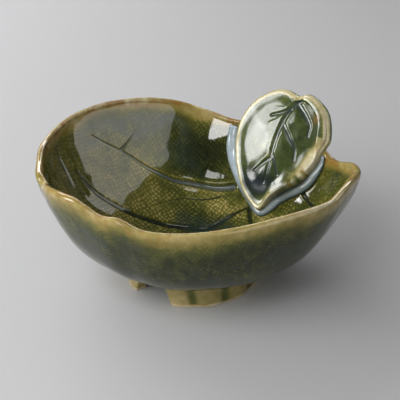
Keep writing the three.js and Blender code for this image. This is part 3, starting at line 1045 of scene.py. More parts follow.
    def refine(self, piece: bpy.types.Object, grooves: Grooves) -> None:
        """Divides the slab's faces more finely where veins will be pressed in.

        Args:
            piece: The slab.
            grooves: The veins.
        """
        middles = vectors(piece.data.polygons, "center")
        points, _, _, turn = self.pressed(middles)
        ratio, radius, _ = grooves.measure(points, self.vein_reach)
        near = (ratio < FAR) & (ratio * radius < self.vein_reach)
        select(piece, Element.FACE, near & (turn > 180 - self.face_turn))
        bpy.ops.mesh.subdivide(number_cuts=self.vein_cuts)
        bpy.ops.object.mode_set(mode="OBJECT")

    def annotate(
        self,
        piece: bpy.types.Object,
        points: Array,
        bearing: Array,
        share: Array,
        turn: Array,
        ratio: Array,
        milk: Array,
    ) -> None:
        """Keeps what the glaze does at each place, with painted shade and painted reflections in its depth,
        and where the cloth lay.

        Args:
            piece: The bowl.
            points: Its vertices round its own axis.
            bearing: The bearing of each.
            share: How far up the wall each is.
            turn: How far round the lip each is: 0 outside and 180 inside.
            ratio: How far each is from a vein, in that vein's radii.
            milk: How milky the glaze in that vein is.
        """
        depths = self.depths
        inside = smoothstep(turn, 60, 120)
        from_lip = self.form.arc(bearing, np.ones_like(share)) - self.form.arc(bearing, share)
        in_vein = 1 - smoothstep(ratio, 0.35, 1.0)
        beside_vein = bell(ratio, 1.45, 0.35)
        wave = ripple(points, Unevenness.LIP_GLAZE)
        inner_lip = 1 - smoothstep(from_lip + 3 * MM * wave, 1 * MM, self.lip_run)
        outer_lip = np.exp(-((np.clip(from_lip + 2 * MM * wave, 0, None) / self.lip_run) ** 1.3))
        ring = bell(points[:, 2], *self.wiped_ring) * (1 - inside)
        # Paler glaze where the screen soft box's reflection lies on the left wall: painted reflection
        painted_reflection_wall = self.painted_reflection_wall.share(np.mod(bearing, 360))
        # Painted shade high on the back wall
        painted_shade_wall = bell(bearing, *self.painted_shade_wall) * self.painted_shade_band.share(share)
        slope = bell(share, *self.slope) * (1 - 0.8 * painted_reflection_wall)
        # Painted shade in the floor's middle, from the front wall
        floor = 1 - smoothstep(share, *self.floor)
        # A paler patch of painted reflection
        painted_glow = self.painted_glow.share(bearing, share)
        depth = depths.outside + depths.outer_lip * outer_lip + depths.wiped_ring * ring
        depth_inside = depths.inside + depths.inner_lip * inner_lip + depths.painted_shade_wall * painted_shade_wall
        depth_inside += depths.painted_reflection_wall * painted_reflection_wall + depths.floor * floor
        depth_inside += depths.slope * slope + depths.painted_glow * painted_glow
        depth += (depth_inside - depth) * inside
        depth += depths.vein * (1 - milk) * in_vein + depths.vein_shoulder * milk * beside_vein
        note(piece, "depth", depth)
        clouded = self.clouded_wall.share(bearing) * inside * self.clouded_band.share(from_lip)
        clouded *= smoothstep(ripple(points, Unevenness.CLOUDS), -0.25, 0.3)
        note(piece, "pool", np.maximum(0.85 * milk * in_vein, 0.55 * clouded))
        cloth = smoothstep(from_lip, 2 * MM, 6 * MM) * (1 - in_vein)
        note(piece, "cloth", cloth * (0.35 + inside * (0.65 - 0.4 * smoothstep(share, 0.45, 0.75))))
        brown = inner_lip * inside * (0.35 + 0.65 * smoothstep(wave, -0.2, 0.3))
        note(piece, "rust", brown + 0.5 * outer_lip * (1 - inside) * smoothstep(wave, -0.1, 0.3))
        drawn_out = smoothstep(from_lip, 5 * MM, 12 * MM) * smoothstep(share, 0.5, 0.7)
        note(piece, "runs", (1 - 0.3 * inside) * drawn_out)
        length = self.form.arc(bearing, share) / THREAD
        angle = np.radians(bearing + self.cloth_turn)
        lay_cloth(piece, np.stack([length * np.cos(angle), length * np.sin(angle)], axis=1))


@dataclass(frozen=True)
class LeafForm:
    """The small leaf's own plane: it lies from its tip on the wall to its spine on the lip."""

    bowl: BowlForm
    length: float = 58 * MM
    width: float = 50 * MM
    thickness: float = 3.8 * MM
    dome: float = 2.2 * MM
    dome_reach: float = 0.62
    keel_slope: float = 0.1
    keel_reach: float = 0.25
    keel_rounding: float = 0.02
    tip_lift: float = 1.7 * MM
    tip_reach: float = 0.22
    standoff: float = 3.4 * MM
    # Its tip by bearing and share of the way up the wall, and where its spine and its sides cross the lip
    tip: Sequence[float] = (38, 0.53)
    spine_bearing: float = 44
    side_bearings: Sequence[float] = (66, 19)
    # Across and along it, in shares of its sizes
    middle: Sequence[float] = (0.06, 0.55)
    outline: Pairs = (
        (0.03, 0.02), (-0.09, 0.06), (-0.2, 0.14), (-0.3, 0.27), (-0.38, 0.41), (-0.42, 0.53), (-0.43, 0.65),
        (-0.4, 0.75), (-0.33, 0.86), (-0.22, 0.95), (-0.09, 1.01), (0.03, 1.01), (0.12, 0.99), (0.22, 1.02),
        (0.34, 0.99), (0.45, 0.92), (0.51, 0.82), (0.54, 0.7), (0.51, 0.62), (0.49, 0.53), (0.43, 0.42),
        (0.34, 0.31), (0.24, 0.24), (0.12, 0.14),
    )

    def axes(self) -> tuple[Array, Array, Array, Array]:
        """The plane's origin, and its directions across, along and out of its face.

        Returns:
            The four vectors, round the bowl's own axis.
        """
        one = np.ones(1)
        tip = self.bowl.inner(one * self.tip[0], one * self.tip[1])[0]
        spine = self.bowl.inner(one * self.spine_bearing, one)[0]
        left, right = (self.bowl.inner(one * bearing, one)[0] for bearing in self.side_bearings)
        along = (spine - tip) / np.linalg.norm(spine - tip)
        across = right - left
        across -= along * (across @ along)
        across /= np.linalg.norm(across)
        face = np.cross(across, along)
        return tip + face * self.standoff, across, along, face

    def place(self, across: Array, along: Array, height: Array) -> Array:
        """Points over the plane: across and along in shares of its sizes, height in metres.

        Args:
            across: How far to the right each is.
            along: How far up from the tip.
            height: How far out of the face.

        Returns:
            Points round the bowl's own axis, one a row.
        """
        origin, right, up, face = self.axes()
        flat = np.outer(across * self.width, right) + np.outer(along * self.length, up)
        return origin + flat + np.outer(height, face)

    def rise(self, across: Array, along: Array) -> Array:
        """Rise of the blade's middle over the plane, highest along its keel.

        Args:
            across: How far to the right each place is, as a share.
            along: How far up from the tip, as a share.

        Returns:
            The rise in metres.
        """
        sideways = 1 - ((across - self.middle[0]) / self.dome_reach) ** 2
        off_keel = np.hypot(across - self.middle[0], self.keel_rounding)
        keel = self.keel_slope * (self.keel_reach - off_keel) * self.width
        tip = self.tip_lift * np.clip(1 - along / self.tip_reach, 0, 1) ** 2
        return (self.dome * sideways + keel) * np.sin(np.pi * np.clip(along, 0, 1)) + tip

    def edge(self, at: Array) -> Array:
        """The outline at places from 0 to its number of points, in shares.

        Args:
            at: The places along it.

        Returns:
            Points across and along the plane, one a row.
        """
        steps = 20
        line = smooth_path(np.array(self.outline, float), steps, closed=True)
        place = np.mod(at, len(self.outline)) * steps
        first = place.astype(int)
        part = (place - first)[:, None]
        return line[first % len(line)] * (1 - part) + line[(first + 1) % len(line)] * part


@dataclass(frozen=True)
class LeafDepths:
    """How deep the glaze lies on the small leaf, from 0 for bare clay to 1, and what each zone adds to it;
    the right half is darkened as painted shade, and the tip and the right side are made paler as painted
    highlights.
    """

    blade: float = 0.56
    edge: float = -0.42
    flange: float = -0.26
    hollow: float = 0.5
    notch: float = 0.5
    # Painted shade: darker glaze over the right half
    painted_shade_right_half: float = 0.1
    # Painted highlight: paler glaze at the tip and on the right side
    painted_glow: float = -0.5


@dataclass(frozen=True)
class SmallLeaf:
    """The small leaf on the wall: a domed blade with veins, a raised margin and a curl at its upper right."""

    form: LeafForm
    columns: int = 432
    front_rows: int = 76
    edge_rows: int = 8
    back_rows: int = 24
    vein_fade: float = 0.5
    vein_sink: float = 0.4
    vein_shoulder: float = 0.03
    panel_reach: float = 6 * MM
    panel_puff: float = 0.3 * MM
    dimple: float = 0.12 * MM
    # How the rows crowd towards the edge, how full its bead and its cup are, and its back's dome and edge
    crowding: float = 1.35
    bead_powers: tuple[float, float] = (2.2, 0.62)
    cup_power: float = 1.3
    back_dome: float = 0.3
    edge_swell: float = 0.35
    depths: LeafDepths = LeafDepths()
    # Patches of its face, across and along it in shares of its sizes
    hollow: Patch = Patch((-0.06, 0.22), (0.2, 0.12))
    # Paler patches of painted highlight, at the tip and on the right side
    painted_tip_glow: Patch = Patch((0.1, 0.13), (0.09, 0.1))
    painted_side_glow: Patch = Patch((0.45, 0.5), (0.1, 0.13))
    iron_spots: Patch = Patch((0.4, 0.86), (0.05, 0.04))
    # Width of each vein at its root, and its line across and along the leaf
    veins: Sequence[tuple[float, Pairs]] = (
        (3.4, ((0.16, 0.97), (0.09, 0.88), (0.05, 0.75), (0.03, 0.6), (0.03, 0.45), (0.02, 0.25))),
        (3.2, ((0.14, 0.94), (0.26, 0.86), (0.33, 0.79), (0.34, 0.7))),
        (2.8, ((0.07, 0.74), (0.17, 0.65), (0.25, 0.57), (0.27, 0.48))),
        (2.4, ((0.04, 0.48), (0.1, 0.41), (0.14, 0.33))),
        (2.6, ((0.11, 0.9), (0.03, 0.85), (-0.1, 0.8))),
        (2.6, ((0.03, 0.45), (-0.05, 0.38), (-0.12, 0.31))),
    )
    # Place on the outline, width and height of the margin, height and width of the cupped edge, overhang
    margin: Pairs = (
        (0, 1.4, 0.1, 0.5, 4.0, 0.0), (1.5, 1.4, 0.0, 0.2, 2.6, 0.0), (3.5, 1.4, 0.0, 0.1, 2.6, 0.0),
        (6, 1.4, 0.0, 0.05, 3.0, 0.0), (9, 1.6, 0.0, 0.0, 3.0, 0.0), (11.5, 2.0, 0.3, 0.1, 3.0, 0.1),
        (13, 2.8, 1.1, 0.5, 4.0, 0.4), (15, 4.0, 2.2, 0.4, 3.0, 1.0), (17, 4.2, 2.4, 0.6, 5.0, 1.3),
        (18, 2.2, 0.9, 1.2, 8.0, 0.4), (19, 1.0, 0.2, 1.4, 9.0, 0.0), (21, 1.0, 0.2, 1.2, 9.0, 0.0),
        (22.4, 1.2, 0.2, 1.2, 7.0, 0.0), (23.3, 1.2, 0.2, 1.1, 6.0, 0.0),
    )
    notches: Sequence[float] = (20.2, 20.75, 21.4)
    notch_width: float = 0.13
    notch_reach: float = 3.2 * MM
    notch_depth: float = 0.7 * MM

    def shaped(self, flat: Array) -> tuple[Array, Array, Array, Array, Array]:
        """Where points of the slab come to lie on the leaf.

        Args:
            flat: Points of the round slab.

        Returns:
            The points, their two places in the leaf's plane in metres, how far in from the edge they are,
            how much of the front they are, from 0 at the back to 1, and how much they lie in a notch.
        """
        form = self.form
        at = np.mod(np.arctan2(flat[:, 1], flat[:, 0]) / (2 * np.pi), 1) * len(form.outline)
        share = np.clip(np.hypot(flat[:, 0], flat[:, 1]), 0, 1)
        front = flat[:, 2] - Side.UNDER.value
        reach = 1 - (1 - share) ** self.crowding
        middle = np.array(form.middle)
        arm = form.edge(at) - middle
        sizes = np.array([form.width, form.length])
        size = np.linalg.norm(arm * sizes, axis=1)
        inward = (1 - reach) * size
        stations = round_table(at, np.array(self.margin, float), len(form.outline)) * MM
        width, height, cup, cup_width, overhang = stations.T
        bead_place = np.clip(inward / width, 0, 1)
        bead = (1 - np.abs(2 * bead_place - 1) ** self.bead_powers[0]) ** self.bead_powers[1]
        cupped = cup * np.clip(1 - inward / cup_width, 0, 1) ** self.cup_power
        notch = sum(bell(at, place, self.notch_width) for place in self.notches)
        notch = notch * (1 - smoothstep(inward, 0, self.notch_reach))
        lean = overhang * bead * (bead_place > 0.5)
        spot = middle + arm * (reach - lean / size)[:, None]
        base = form.rise(spot[:, 0], spot[:, 1])
        upper = base + height * bead + cupped - self.notch_depth * notch
        lower = -form.thickness + base * self.back_dome
        rounded = 0.5 - 0.5 * np.cos(np.pi * front)
        level = lower + (upper - lower) * rounded
        swell = self.edge_swell * form.thickness * np.sin(np.pi * front) * np.isclose(share, 1)
        spot = spot + (arm / size[:, None]) * swell[:, None]
        points = form.place(spot[:, 0], spot[:, 1], level)
        return points, spot * sizes, inward, front, notch

    def build(self, axis: Vector) -> bpy.types.Object:
        """Makes the small leaf.

        Args:
            axis: Where the bowl's own axis meets the table.

        Returns:
            The finished mesh.
        """
        piece = spun_slab("small_leaf", self.columns, self.front_rows, self.edge_rows, self.back_rows)
        points, spot, inward, front, notch = self.shaped(places(piece))
        sizes = np.array([self.form.width, self.form.length])
        lines = [smooth_path(np.array(path, float), 10) * sizes for _, path in self.veins]
        widths = [width * MM for width, _ in self.veins]
        grooves = Grooves(widths, lines, self.vein_fade, self.vein_sink, self.vein_shoulder)
        ratio, radius, _ = grooves.measure(spot, self.panel_reach)
        panel = smoothstep(np.where(ratio < FAR, ratio * radius, self.panel_reach), 0, self.panel_reach)
        ratio[front < 1] = FAR
        press(piece, points)
        turn_outwards(piece)
        outwards = normals(piece)
        relief = -grooves.profile(ratio, radius) * (front >= 1)
        relief += self.panel_puff * (panel - 0.5) * smoothstep(inward, 2 * MM, 6 * MM) * (front >= 1)
        relief += self.dimple * ripple(points, Unevenness.LEAF_DIMPLES)
        press(piece, points + outwards * relief[:, None] + np.array([axis.x, axis.y, 0]))
        self.annotate(piece, spot, inward, front, notch, ratio)
        return piece

    def dress(self, piece: bpy.types.Object) -> None:
        """Glazes the small leaf and lets it stand for its solid."""
        finish_piece(piece, LEAF_GLAZE.material(), Slot.LEAF, "handle_leaf")

    def annotate(
        self, piece: bpy.types.Object, spot: Array, inward: Array, front: Array, notch: Array, ratio: Array
    ) -> None:
        """Keeps what the glaze does at each place, with painted shade and painted highlights in its depth,
        and where the cloth lay.

        Args:
            piece: The small leaf.
            spot: Its vertices' two places in the leaf's plane, in metres.
            inward: How far each is from the leaf's edge.
            front: How much of the front each is, from 0 at the back to 1.
            notch: How much each lies in a notch.
            ratio: How far each is from a vein, in that vein's radii.
        """
        depths = self.depths
        across, along = spot[:, 0] / self.form.width, spot[:, 1] / self.form.length
        in_vein = 1 - smoothstep(ratio, 0.3, 1.15)
        lower_right = smoothstep(across, 0.02, 0.15) * (1 - smoothstep(along, 0.55, 0.66))
        edge = (1 - smoothstep(inward, 0.6 * MM, 1.9 * MM)) * smoothstep(front, 0.5, 0.9)
        edge *= 1 - 0.7 * lower_right
        rolled_edge = lower_right * (1 - smoothstep(inward, 0.6 * MM, 1.6 * MM))
        flange = smoothstep(across, 0.1, 0.4) * (1 - smoothstep(inward, 2 * MM, 8 * MM)) * (along < 0.72)
        hollow = self.hollow.share(across, along) * (1 - edge)
        # Painted highlights at the tip and on the right side, which also keep out the milk
        painted_glow = np.maximum(self.painted_tip_glow.share(across, along), self.painted_side_glow.share(across, along))
        painted_glow *= 1 - smoothstep(inward, 4 * MM, 8 * MM)
        # Painted shade over the right half of the blade
        painted_shade_right_half = smoothstep(across, 0.02, 0.14) * smoothstep(inward, 3 * MM, 7 * MM)
        depth = depths.blade + depths.edge * edge + depths.flange * flange * (1 - edge)
        depth += depths.hollow * hollow + depths.notch * notch
        depth += depths.painted_shade_right_half * painted_shade_right_half + depths.painted_glow * painted_glow
        note(piece, "depth", depth)
        milky = np.maximum(0.7 * in_vein, 0.6 * hollow) * (1 - painted_glow)
        note(piece, "pool", np.maximum(milky, 0.6 * rolled_edge * (1 - notch)))
        note(piece, "cloth", 0.35 * (1 - edge) * (1 - in_vein) * (front >= 1))
        spots = self.iron_spots.share(across, along)
        note(piece, "rust", np.clip(spots + 0.8 * notch + 0.25 * flange, 0, 1))
        note(piece, "runs", np.zeros(len(spot)))
        lay_cloth(piece, spot / THREAD)


@dataclass(frozen=True)
class JointCoil:
    """The roll of clay in the corner between the small leaf and the wall, pressed flat and glazed over."""

    leaf: LeafForm
    width: float = 5.6 * MM
    height: float = 2.4 * MM
    setback: float = 2.3 * MM
    # Where along the leaf's outline it is wider, on the left, and by how much
    left: Zone = Zone(1, 4, 10, 12)
    left_width: float = 1.8 * MM
    left_setback: float = 1.0 * MM
    end_clearance: float = 1.0 * MM
    root: float = 0.5 * MM
    crown_power: float = 0.8
    # Its ends: the share of its length that tapers, of its height that is left, and of its width that stays
    tapered: float = 0.12
    taper: float = 0.3
    kept_width: float = 0.6
    pressed: float = 0.25 * MM
    dimple: float = 0.1 * MM
    # Depth of the glaze in its corners, partly pooled glaze and partly painted shade, how much shallower it
    # is on its crown, and the milk there, partly a painted highlight: all along, in patches, and where it is
    # wide
    corner_pool_and_shade: float = 0.85
    crown_thinning: float = 0.4
    milk: tuple[float, float, float] = (0.42, 0.28, 0.3)
    sides: int = 48
    cuts: int = 159
    route_steps: int = 320
    route_halvings: int = 24

    def route(self) -> tuple[Array, Array, Array]:
        """Where the roll's middle lies on the wall, by bearing and share of the way up, and where it is wide.

        Returns:
            The bearing and the share of each of its points, and how much it is widened there.
        """
        form, bowl = self.leaf, self.leaf.bowl
        centre = form.place(np.array([form.middle[0]]), np.array([form.middle[1]]), np.zeros(1))[0]
        at = np.mod(np.linspace(0, 1, self.route_steps, endpoint=False) + 0.5, 1) * len(form.outline)
        edge = form.edge(at)
        points = form.place(edge[:, 0], edge[:, 1], np.full(len(edge), -form.thickness / 2))
        outwards = points - centre
        wide = self.left.share(at)
        setback = self.setback + self.left_setback * wide
        points = points + outwards * (setback / np.linalg.norm(outwards, axis=1))[:, None]
        bearing = np.degrees(np.arctan2(points[:, 1], points[:, 0]))
        _, height = bowl.rim(bearing)
        under_lip = points[:, 2] <= height - self.end_clearance
        bearing, level, wide = bearing[under_lip], points[under_lip, 2], wide[under_lip]
        low, high = np.zeros_like(level), np.ones_like(level)
        for _ in range(self.route_halvings):
            half = (low + high) / 2
            below = bowl.inner(bearing, half)[:, 2] < level
            low, high = np.where(below, half, low), np.where(below, high, half)
        return bearing, high, wide

    def build(self, axis: Vector) -> bpy.types.Object:
        """Makes the roll.

        Args:
            axis: Where the bowl's own axis meets the table.

        Returns:
            The finished mesh.
        """
        deselect_everything()
        bpy.ops.mesh.primitive_cylinder_add(vertices=self.sides, radius=1, depth=1, end_fill_type="TRIFAN")
        piece = bpy.context.object
        piece.name = piece.data.name = "joint_roll"
        select(piece, Element.EDGE, arms(piece)[:, 2] > 0.5)
        bpy.ops.mesh.subdivide(number_cuts=self.cuts)
        bpy.ops.object.mode_set(mode="OBJECT")
        flat = places(piece)
        share = flat[:, 2] + 0.5
        bearing, climb, wide = self.route()
        line = self.leaf.bowl.inner(bearing, climb)
        lifted = self.leaf.bowl.inner(bearing, climb, MM)
        lengths = np.concatenate([[0], np.linalg.norm(np.diff(line, axis=0), axis=1).cumsum()])
        share_at = lengths / lengths[-1]
        step = 0.01
        middle, above, ahead, behind = (
            np.stack([np.interp(share + shift, share_at, path[:, k]) for k in range(3)], axis=1)
            for path, shift in ((line, 0), (lifted, 0), (line, step), (line, -step))
        )
        wide = np.interp(share, share_at, wide)
        out = (above - middle) / MM
        beside = np.cross(ahead - behind, out)
        beside /= np.linalg.norm(beside, axis=1)[:, None]
        from_end = smoothstep(np.minimum(share, 1 - share), 0, self.tapered)
        size = self.taper + (1 - self.taper) * from_end
        sideways = flat[:, 0] * (self.width + self.left_width * wide) / 2
        sideways *= self.kept_width + (1 - self.kept_width) * size
        rise = np.clip(flat[:, 1], 0, 1) ** self.crown_power * self.height * size
        sink = np.clip(-flat[:, 1], 0, 1) * self.root
        points = middle + sideways[:, None] * beside + (rise - sink)[:, None] * out
        press(piece, points + np.array([axis.x, axis.y, 0]))
        turn_outwards(piece)
        outwards = normals(piece)
        relief = self.pressed * ripple(points, Unevenness.ROLL_PRESSES)
        relief += self.dimple * ripple(points, Unevenness.ROLL_DIMPLES)
        press(piece, places(piece) + outwards * relief[:, None])
        crown = np.clip(flat[:, 1], 0, 1)
        milky = smoothstep(ripple(points, Unevenness.ROLL_MILK), -0.35, 0.25)
        # Darker in the corners: partly pooled glaze, partly painted shade
        note(piece, "depth", self.corner_pool_and_shade - self.crown_thinning * crown)
        all_along, in_patches, on_the_left = self.milk
        # The near-white milk on the crown, strongest where the roll is wide on the left, is partly a painted
        # highlight
        note(piece, "pool", crown * (all_along + in_patches * milky + on_the_left * wide))
        for name in ("cloth", "rust", "runs"):
            note(piece, name, np.zeros(len(points)))
        lay_cloth(piece, flat[:, :2])
        return piece

    def dress(self, piece: bpy.types.Object) -> None:
        """Glazes the roll and lets it stand for its solid."""
        finish_piece(piece, POOLED_GLAZE.material(), Slot.POOLED, "joint_coil")


@dataclass(frozen=True)
class FootStretch:
    """One stretch of the fluted foot ring, between two knife cuts."""

    bowl: BowlForm
    name: str
    start: float
    end: float
    diameter: float = 64 * MM
    band: float = 6 * MM
    flutes: int = 13
    rib_bearing: float = 286.0
    flute_depth: float = 1.1 * MM
    spread: float = 1.6 * MM
    # Of the ring, from the bowl's axis
    centre: Sequence[float] = (-1 * MM, -1.5 * MM)
    shoulder: float = 0.6
    rounding: float = 0.7 * MM
    cut_lean: float = 6.0
    height: float = 8 * MM
    sink: float = 0.5 * MM
    unevenness: float = 0.006
    # Depth of the glaze in the flutes, and how much shallower it is on their ridges and where it was wiped
    flute_glaze: float = 0.72
    ridge_thinning: float = 0.36
    wiped_thinning: float = 0.6
    wiped: tuple[float, float] = (0.8 * MM, 1.8 * MM)
    ridge_rust: float = 0.15

    def build(self, axis: Vector) -> bpy.types.Object:
        """Makes the stretch.

        Args:
            axis: Where the bowl's own axis meets the table.

        Returns:
            The finished mesh.
        """
        turn = self.end - self.start
        length = math.radians(turn) * self.diameter / 2
        deselect_everything()
        sizes = (length, self.band, self.height)
        bpy.ops.mesh.primitive_cube_add(size=1, location=(0, 0, self.height / 2), scale=sizes)
        piece = bpy.context.object
        piece.name = piece.data.name = self.name
        bpy.ops.object.transform_apply(location=True, rotation=False, scale=True)
        bpy.ops.object.mode_set(mode="EDIT")
        bpy.ops.mesh.select_all(action="SELECT")
        bpy.ops.mesh.bevel(offset=self.rounding, segments=4, affect="EDGES")
        bpy.ops.object.mode_set(mode="OBJECT")
        for direction, cuts in ((0, 99), (2, 14), (1, 6)):
            self.divide(piece, direction, cuts)
        flat = places(piece)
        level = flat[:, 2] / self.height
        share = flat[:, 0] / length + 0.5
        out = flat[:, 1] / self.band
        bearing = self.start + turn * share
        rib = np.abs(np.cos(np.radians((bearing - self.rib_bearing) * self.flutes / 2)))
        outer = self.diameter / 2 - self.flute_depth * (1 - rib)
        inner = self.diameter / 2 - self.band
        widening = smoothstep(level, self.shoulder, 1.0)
        outer = outer + self.spread * widening
        inner = inner - self.spread / 2 * widening
        radius = (inner + outer) / 2 + (outer - inner) * out
        angle = np.radians(bearing - self.cut_lean * level * (1 - 2 * share))
        x, y = self.centre[0] + radius * np.cos(angle), self.centre[1] + radius * np.sin(angle)
        points = np.stack([x, y, level * (self.bowl.underside(x, y) + self.sink * level)], axis=1)
        uneven = ripple(points, Unevenness.FOOT_CUTS)
        points[:, :2] *= 1 + (self.unevenness * uneven * smoothstep(level, 0.05, 0.3))[:, None]
        points += np.array([axis.x, axis.y, 0])
        press(piece, points)
        turn_outwards(piece)
        wiped = 1 - smoothstep(points[:, 2] + self.wiped[0] * uneven, *self.wiped)
        ridge = smoothstep(rib, 0.1, 0.6)
        note(piece, "depth", self.flute_glaze - self.ridge_thinning * ridge - self.wiped_thinning * wiped)
        note(piece, "rust", self.ridge_rust * ridge)
        for name in ("pool", "cloth", "runs"):
            note(piece, name, np.zeros(len(points)))
        lay_cloth(piece, flat[:, :2] / THREAD)
        return piece

    def divide(self, piece: bpy.types.Object, direction: int, cuts: int) -> None:
        """Divides the long edges that run in one direction.

        Args:
            piece: The straight bar that becomes the stretch.
            direction: 0 along it, 1 across it and 2 upwards.
            cuts: How many cuts each edge gets.
        """
        runs = arms(piece)
        # The edges of the rounded corners are short, or run askew
        longest = runs[:, direction].max()
        straight = runs.sum(axis=1) < 1.2 * runs[:, direction]
        select(piece, Element.EDGE, straight & (runs[:, direction] > 0.8 * longest))
        bpy.ops.mesh.subdivide(number_cuts=cuts)
        bpy.ops.object.mode_set(mode="OBJECT")


@dataclass(frozen=True)
class FootRing:
    """The foot ring, cut through twice with a knife, so that it stands in two stretches."""

    bowl: BowlForm
    # Each stretch's name, the solid that it stands for, and the bearings that it runs between
    stretches: Sequence[tuple[str, str, float, float]] = (
        ("foot_front", "front_foot", 252, 393),
        ("foot_rear", "rear_foot", 72, 213),
    )

    def build(self, axis: Vector) -> list[bpy.types.Object]:
        """Makes both stretches.

        Args:
            axis: Where the bowl's own axis meets the table.

        Returns:
            Their finished meshes.
        """
        pieces = []
        for name, _, start, end in self.stretches:
            pieces.append(FootStretch(self.bowl, name, start, end).build(axis))
        return pieces

    def dress(self, pieces: Sequence[bpy.types.Object]) -> None:
        """Glazes both stretches and lets each stand for its solid."""
        glaze = FOOT_GLAZE.material()
        for piece, (_, node, _, _) in zip(pieces, self.stretches):
            finish_piece(piece, glaze, Slot.FOOT, node)


@dataclass(frozen=True)
class SoftBox:
    """A rectangular soft light that faces the bowl.

    Args:
        name: What it is called.
        bearing: Degrees round the bowl, from the camera at 0 to the right at 90.
        elevation: Degrees over the table.
        distance: From the origin, in metres, as its width and height are.
        width: Its width.
        height: Its height.
        brightness: How bright its face is, where a white card in full light is near 1.
        roll: Degrees that it is turned in its own plane.
        layers: How many nested panels it has, so that its edge is soft.
        softness: Share of its size that the nested panels lose.
        lights_matt: Whether it lights more than the gloss.
        shows_in_gloss: Whether the gloss mirrors it.
    """

    name: str
    bearing: float
    elevation: float
    distance: float
    width: float
    height: float
    brightness: float
    roll: float = 0.0
    layers: int = 1
    softness: float = 0.5
    lights_matt: bool = True
    shows_in_gloss: bool = True

    def hang(self) -> None:
        """Hangs the light."""
        turn, lean = math.radians(self.bearing), math.radians(self.elevation)
        away = Vector((math.cos(lean) * math.sin(turn), -math.cos(lean) * math.cos(turn), math.sin(lean)))
        facing = (-away).to_track_quat("-Z", "Y") @ Quaternion((0, 0, 1), math.radians(self.roll))
        for layer in range(self.layers):
            size = 1 - self.softness * layer / self.layers
            data = bpy.data.lights.new(f"{self.name}_{layer}", "AREA")
            data.shape = "RECTANGLE"
            data.size, data.size_y = self.width * size, self.height * size
            data.energy = self.brightness / self.layers * math.pi * data.size * data.size_y
            lamp = bpy.data.objects.new(data.name, data)
            lamp.location = away * (self.distance - layer * MM)
            lamp.rotation_euler = facing.to_euler()
            lamp.visible_camera = False
            lamp.visible_diffuse = self.lights_matt
            lamp.visible_glossy = self.shows_in_gloss
            bpy.context.scene.collection.objects.link(lamp)


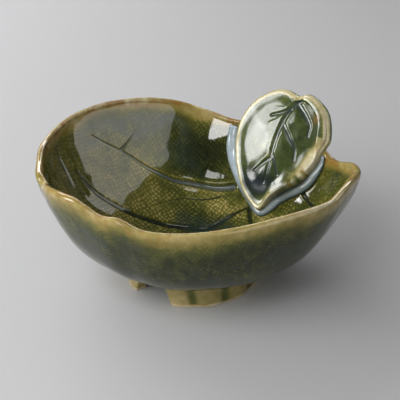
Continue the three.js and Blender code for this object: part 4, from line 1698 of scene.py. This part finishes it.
@dataclass(frozen=True)
class Studio:
    """The pale table, the soft lights and the camera."""

    # The camera: where it looks, from the foot of the bowl's axis, and how much it sees across there
    elevation: float = 29.0
    distance: float = 0.6
    target: Sequence[float] = (2.5 * MM, 0.0, 38.5 * MM)
    seen_width: float = 187 * MM
    sensor: float = 36.0
    # How bright the room is, and the lights in it
    room: float = 0.127
    boxes: Sequence[SoftBox] = (
        SoftBox("window", -84, 20, 1.0, 0.34, 0.3, 19.0, layers=2, softness=0.3, lights_matt=False),
        SoftBox("window_top", -80, 34, 1.0, 0.3, 0.32, 17.0, layers=2, softness=0.4, lights_matt=False),
        SoftBox("side", -83, 35, 1.0, 0.45, 0.75, 2.0, shows_in_gloss=False),
        SoftBox("left_back", -140, 35, 0.8, 0.6, 0.6, 3.0, shows_in_gloss=False),
        SoftBox("left_front", -40, 42, 0.8, 0.6, 0.6, 3.3, shows_in_gloss=False),
        SoftBox("screen", 58.9, 27.4, 0.64, 1.73, 0.61, 2.9, 22.8, lights_matt=False),
        SoftBox("slit", -36.5, 18.5, 0.8, 0.17, 0.2, 18.0, lights_matt=False),
        SoftBox("lamp", -41.6, 40.5, 0.78, 0.17, 0.12, 10.0, lights_matt=False),
        SoftBox("strip", -12, 66, 0.8, 0.2, 0.14, 6.0, lights_matt=False),
        SoftBox("back_strip", 180, 40, 1.0, 1.4, 0.16, 13.0, lights_matt=False),
    )

    def build(self, axis: Vector) -> None:
        """Sets up the studio.

        Args:
            axis: Where the bowl's own axis meets the table.
        """
        self.set_camera(axis)
        self.lay_floor()
        self.light()

    def set_camera(self, axis: Vector) -> None:
        """Puts the camera at the photograph's viewing angle.

        Args:
            axis: Where the bowl's own axis meets the table.
        """
        lean = math.radians(self.elevation)
        back = Vector((0, -math.cos(lean), math.sin(lean)))
        data = bpy.data.cameras.new("camera")
        data.sensor_width = self.sensor
        data.lens = self.sensor * self.distance / self.seen_width
        camera = bpy.data.objects.new("camera", data)
        camera.location = Vector(self.target) + axis + back * self.distance
        camera.rotation_euler = (math.radians(90 - self.elevation), 0, 0)
        bpy.context.scene.collection.objects.link(camera)
        bpy.context.scene.camera = camera

    def lay_floor(self) -> None:
        """Lays the pale table, which runs back past the camera's view."""
        deselect_everything()
        bpy.ops.mesh.primitive_plane_add(size=8)
        floor = bpy.context.object
        floor.name = floor.data.name = "table"
        board = NodeBoard("table")
        place = board.add("TexCoord").outputs["Object"]
        grain = board.noise(place, Grain.TABLE)
        shader = board.add("BsdfPrincipled", {
            "Base Color": board.blend(grain, (0.6, 0.6, 0.61, 1), (0.63, 0.63, 0.64, 1)),
            "Roughness": 0.8,
            "Specular IOR Level": 0.2,
        })
        board.tree.links.new(shader.outputs[0], board.output.inputs["Surface"])
        floor.data.materials.append(board.material)

    def shade(self, piece: bpy.types.Object, *names: str) -> None:
        """Shades a piece from some of the soft boxes, as a small black flag on a stand does.

        Args:
            piece: The piece that they leave dark.
            names: What the soft boxes are called.
        """
        flag = bpy.data.collections.new("flag_" + piece.name)
        flag.objects.link(piece)
        flag.collection_objects[0].light_linking.link_state = "EXCLUDE"
        for name in names:
            bpy.data.objects[name + "_0"].light_linking.receiver_collection = flag

    def light(self) -> None:
        """Hangs the soft boxes round the table, in a dim room."""
        world = bpy.data.worlds.new("studio")
        world.use_nodes = True
        world.node_tree.nodes["Background"].inputs["Color"].default_value = (1, 1, 1, 1)
        world.node_tree.nodes["Background"].inputs["Strength"].default_value = self.room
        bpy.context.scene.world = world
        for box in self.boxes:
            box.hang()


def bowl_axis(form: BowlForm) -> Vector:
    """Where the bowl's own axis meets the table, from the box of its solid in the frame.

    Args:
        form: The bowl's wall.

    Returns:
        The place, in metres.
    """
    low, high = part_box("bowl_body")
    bearings = np.arange(0, 360, 0.5)
    # The furthest points lie on the outer half of the lip
    rims = np.vstack([form.lip(bearings, np.full_like(bearings, turn)) for turn in (0, 30, 60)])
    middle = (rims.min(axis=0) + rims.max(axis=0)) / 2
    return Vector(((low.x + high.x) / 2 - middle[0], (low.y + high.y) / 2 - middle[1], 0))


def main() -> None:
    """Builds the studio, and then each piece of the bowl in order."""
    logging.basicConfig(level=logging.INFO, format="%(message)s")
    bpy.context.scene.view_settings.view_transform = "Standard"
    form = BowlForm()
    axis = bowl_axis(form)
    LOG.info("axis %.3f %.3f mm", axis.x / MM, axis.y / MM)
    studio = Studio()
    studio.build(axis)
    bowl = Bowl(form)
    bowl.dress(bowl.build(axis))
    leaf_form = LeafForm(form)
    leaf = SmallLeaf(leaf_form)
    blade = leaf.build(axis)
    leaf.dress(blade)
    studio.shade(blade, "slit", "lamp")
    roll = JointCoil(leaf_form)
    roll.dress(roll.build(axis))
    foot = FootRing(form)
    foot.dress(foot.build(axis))


if __name__ == "__main__":
    main()
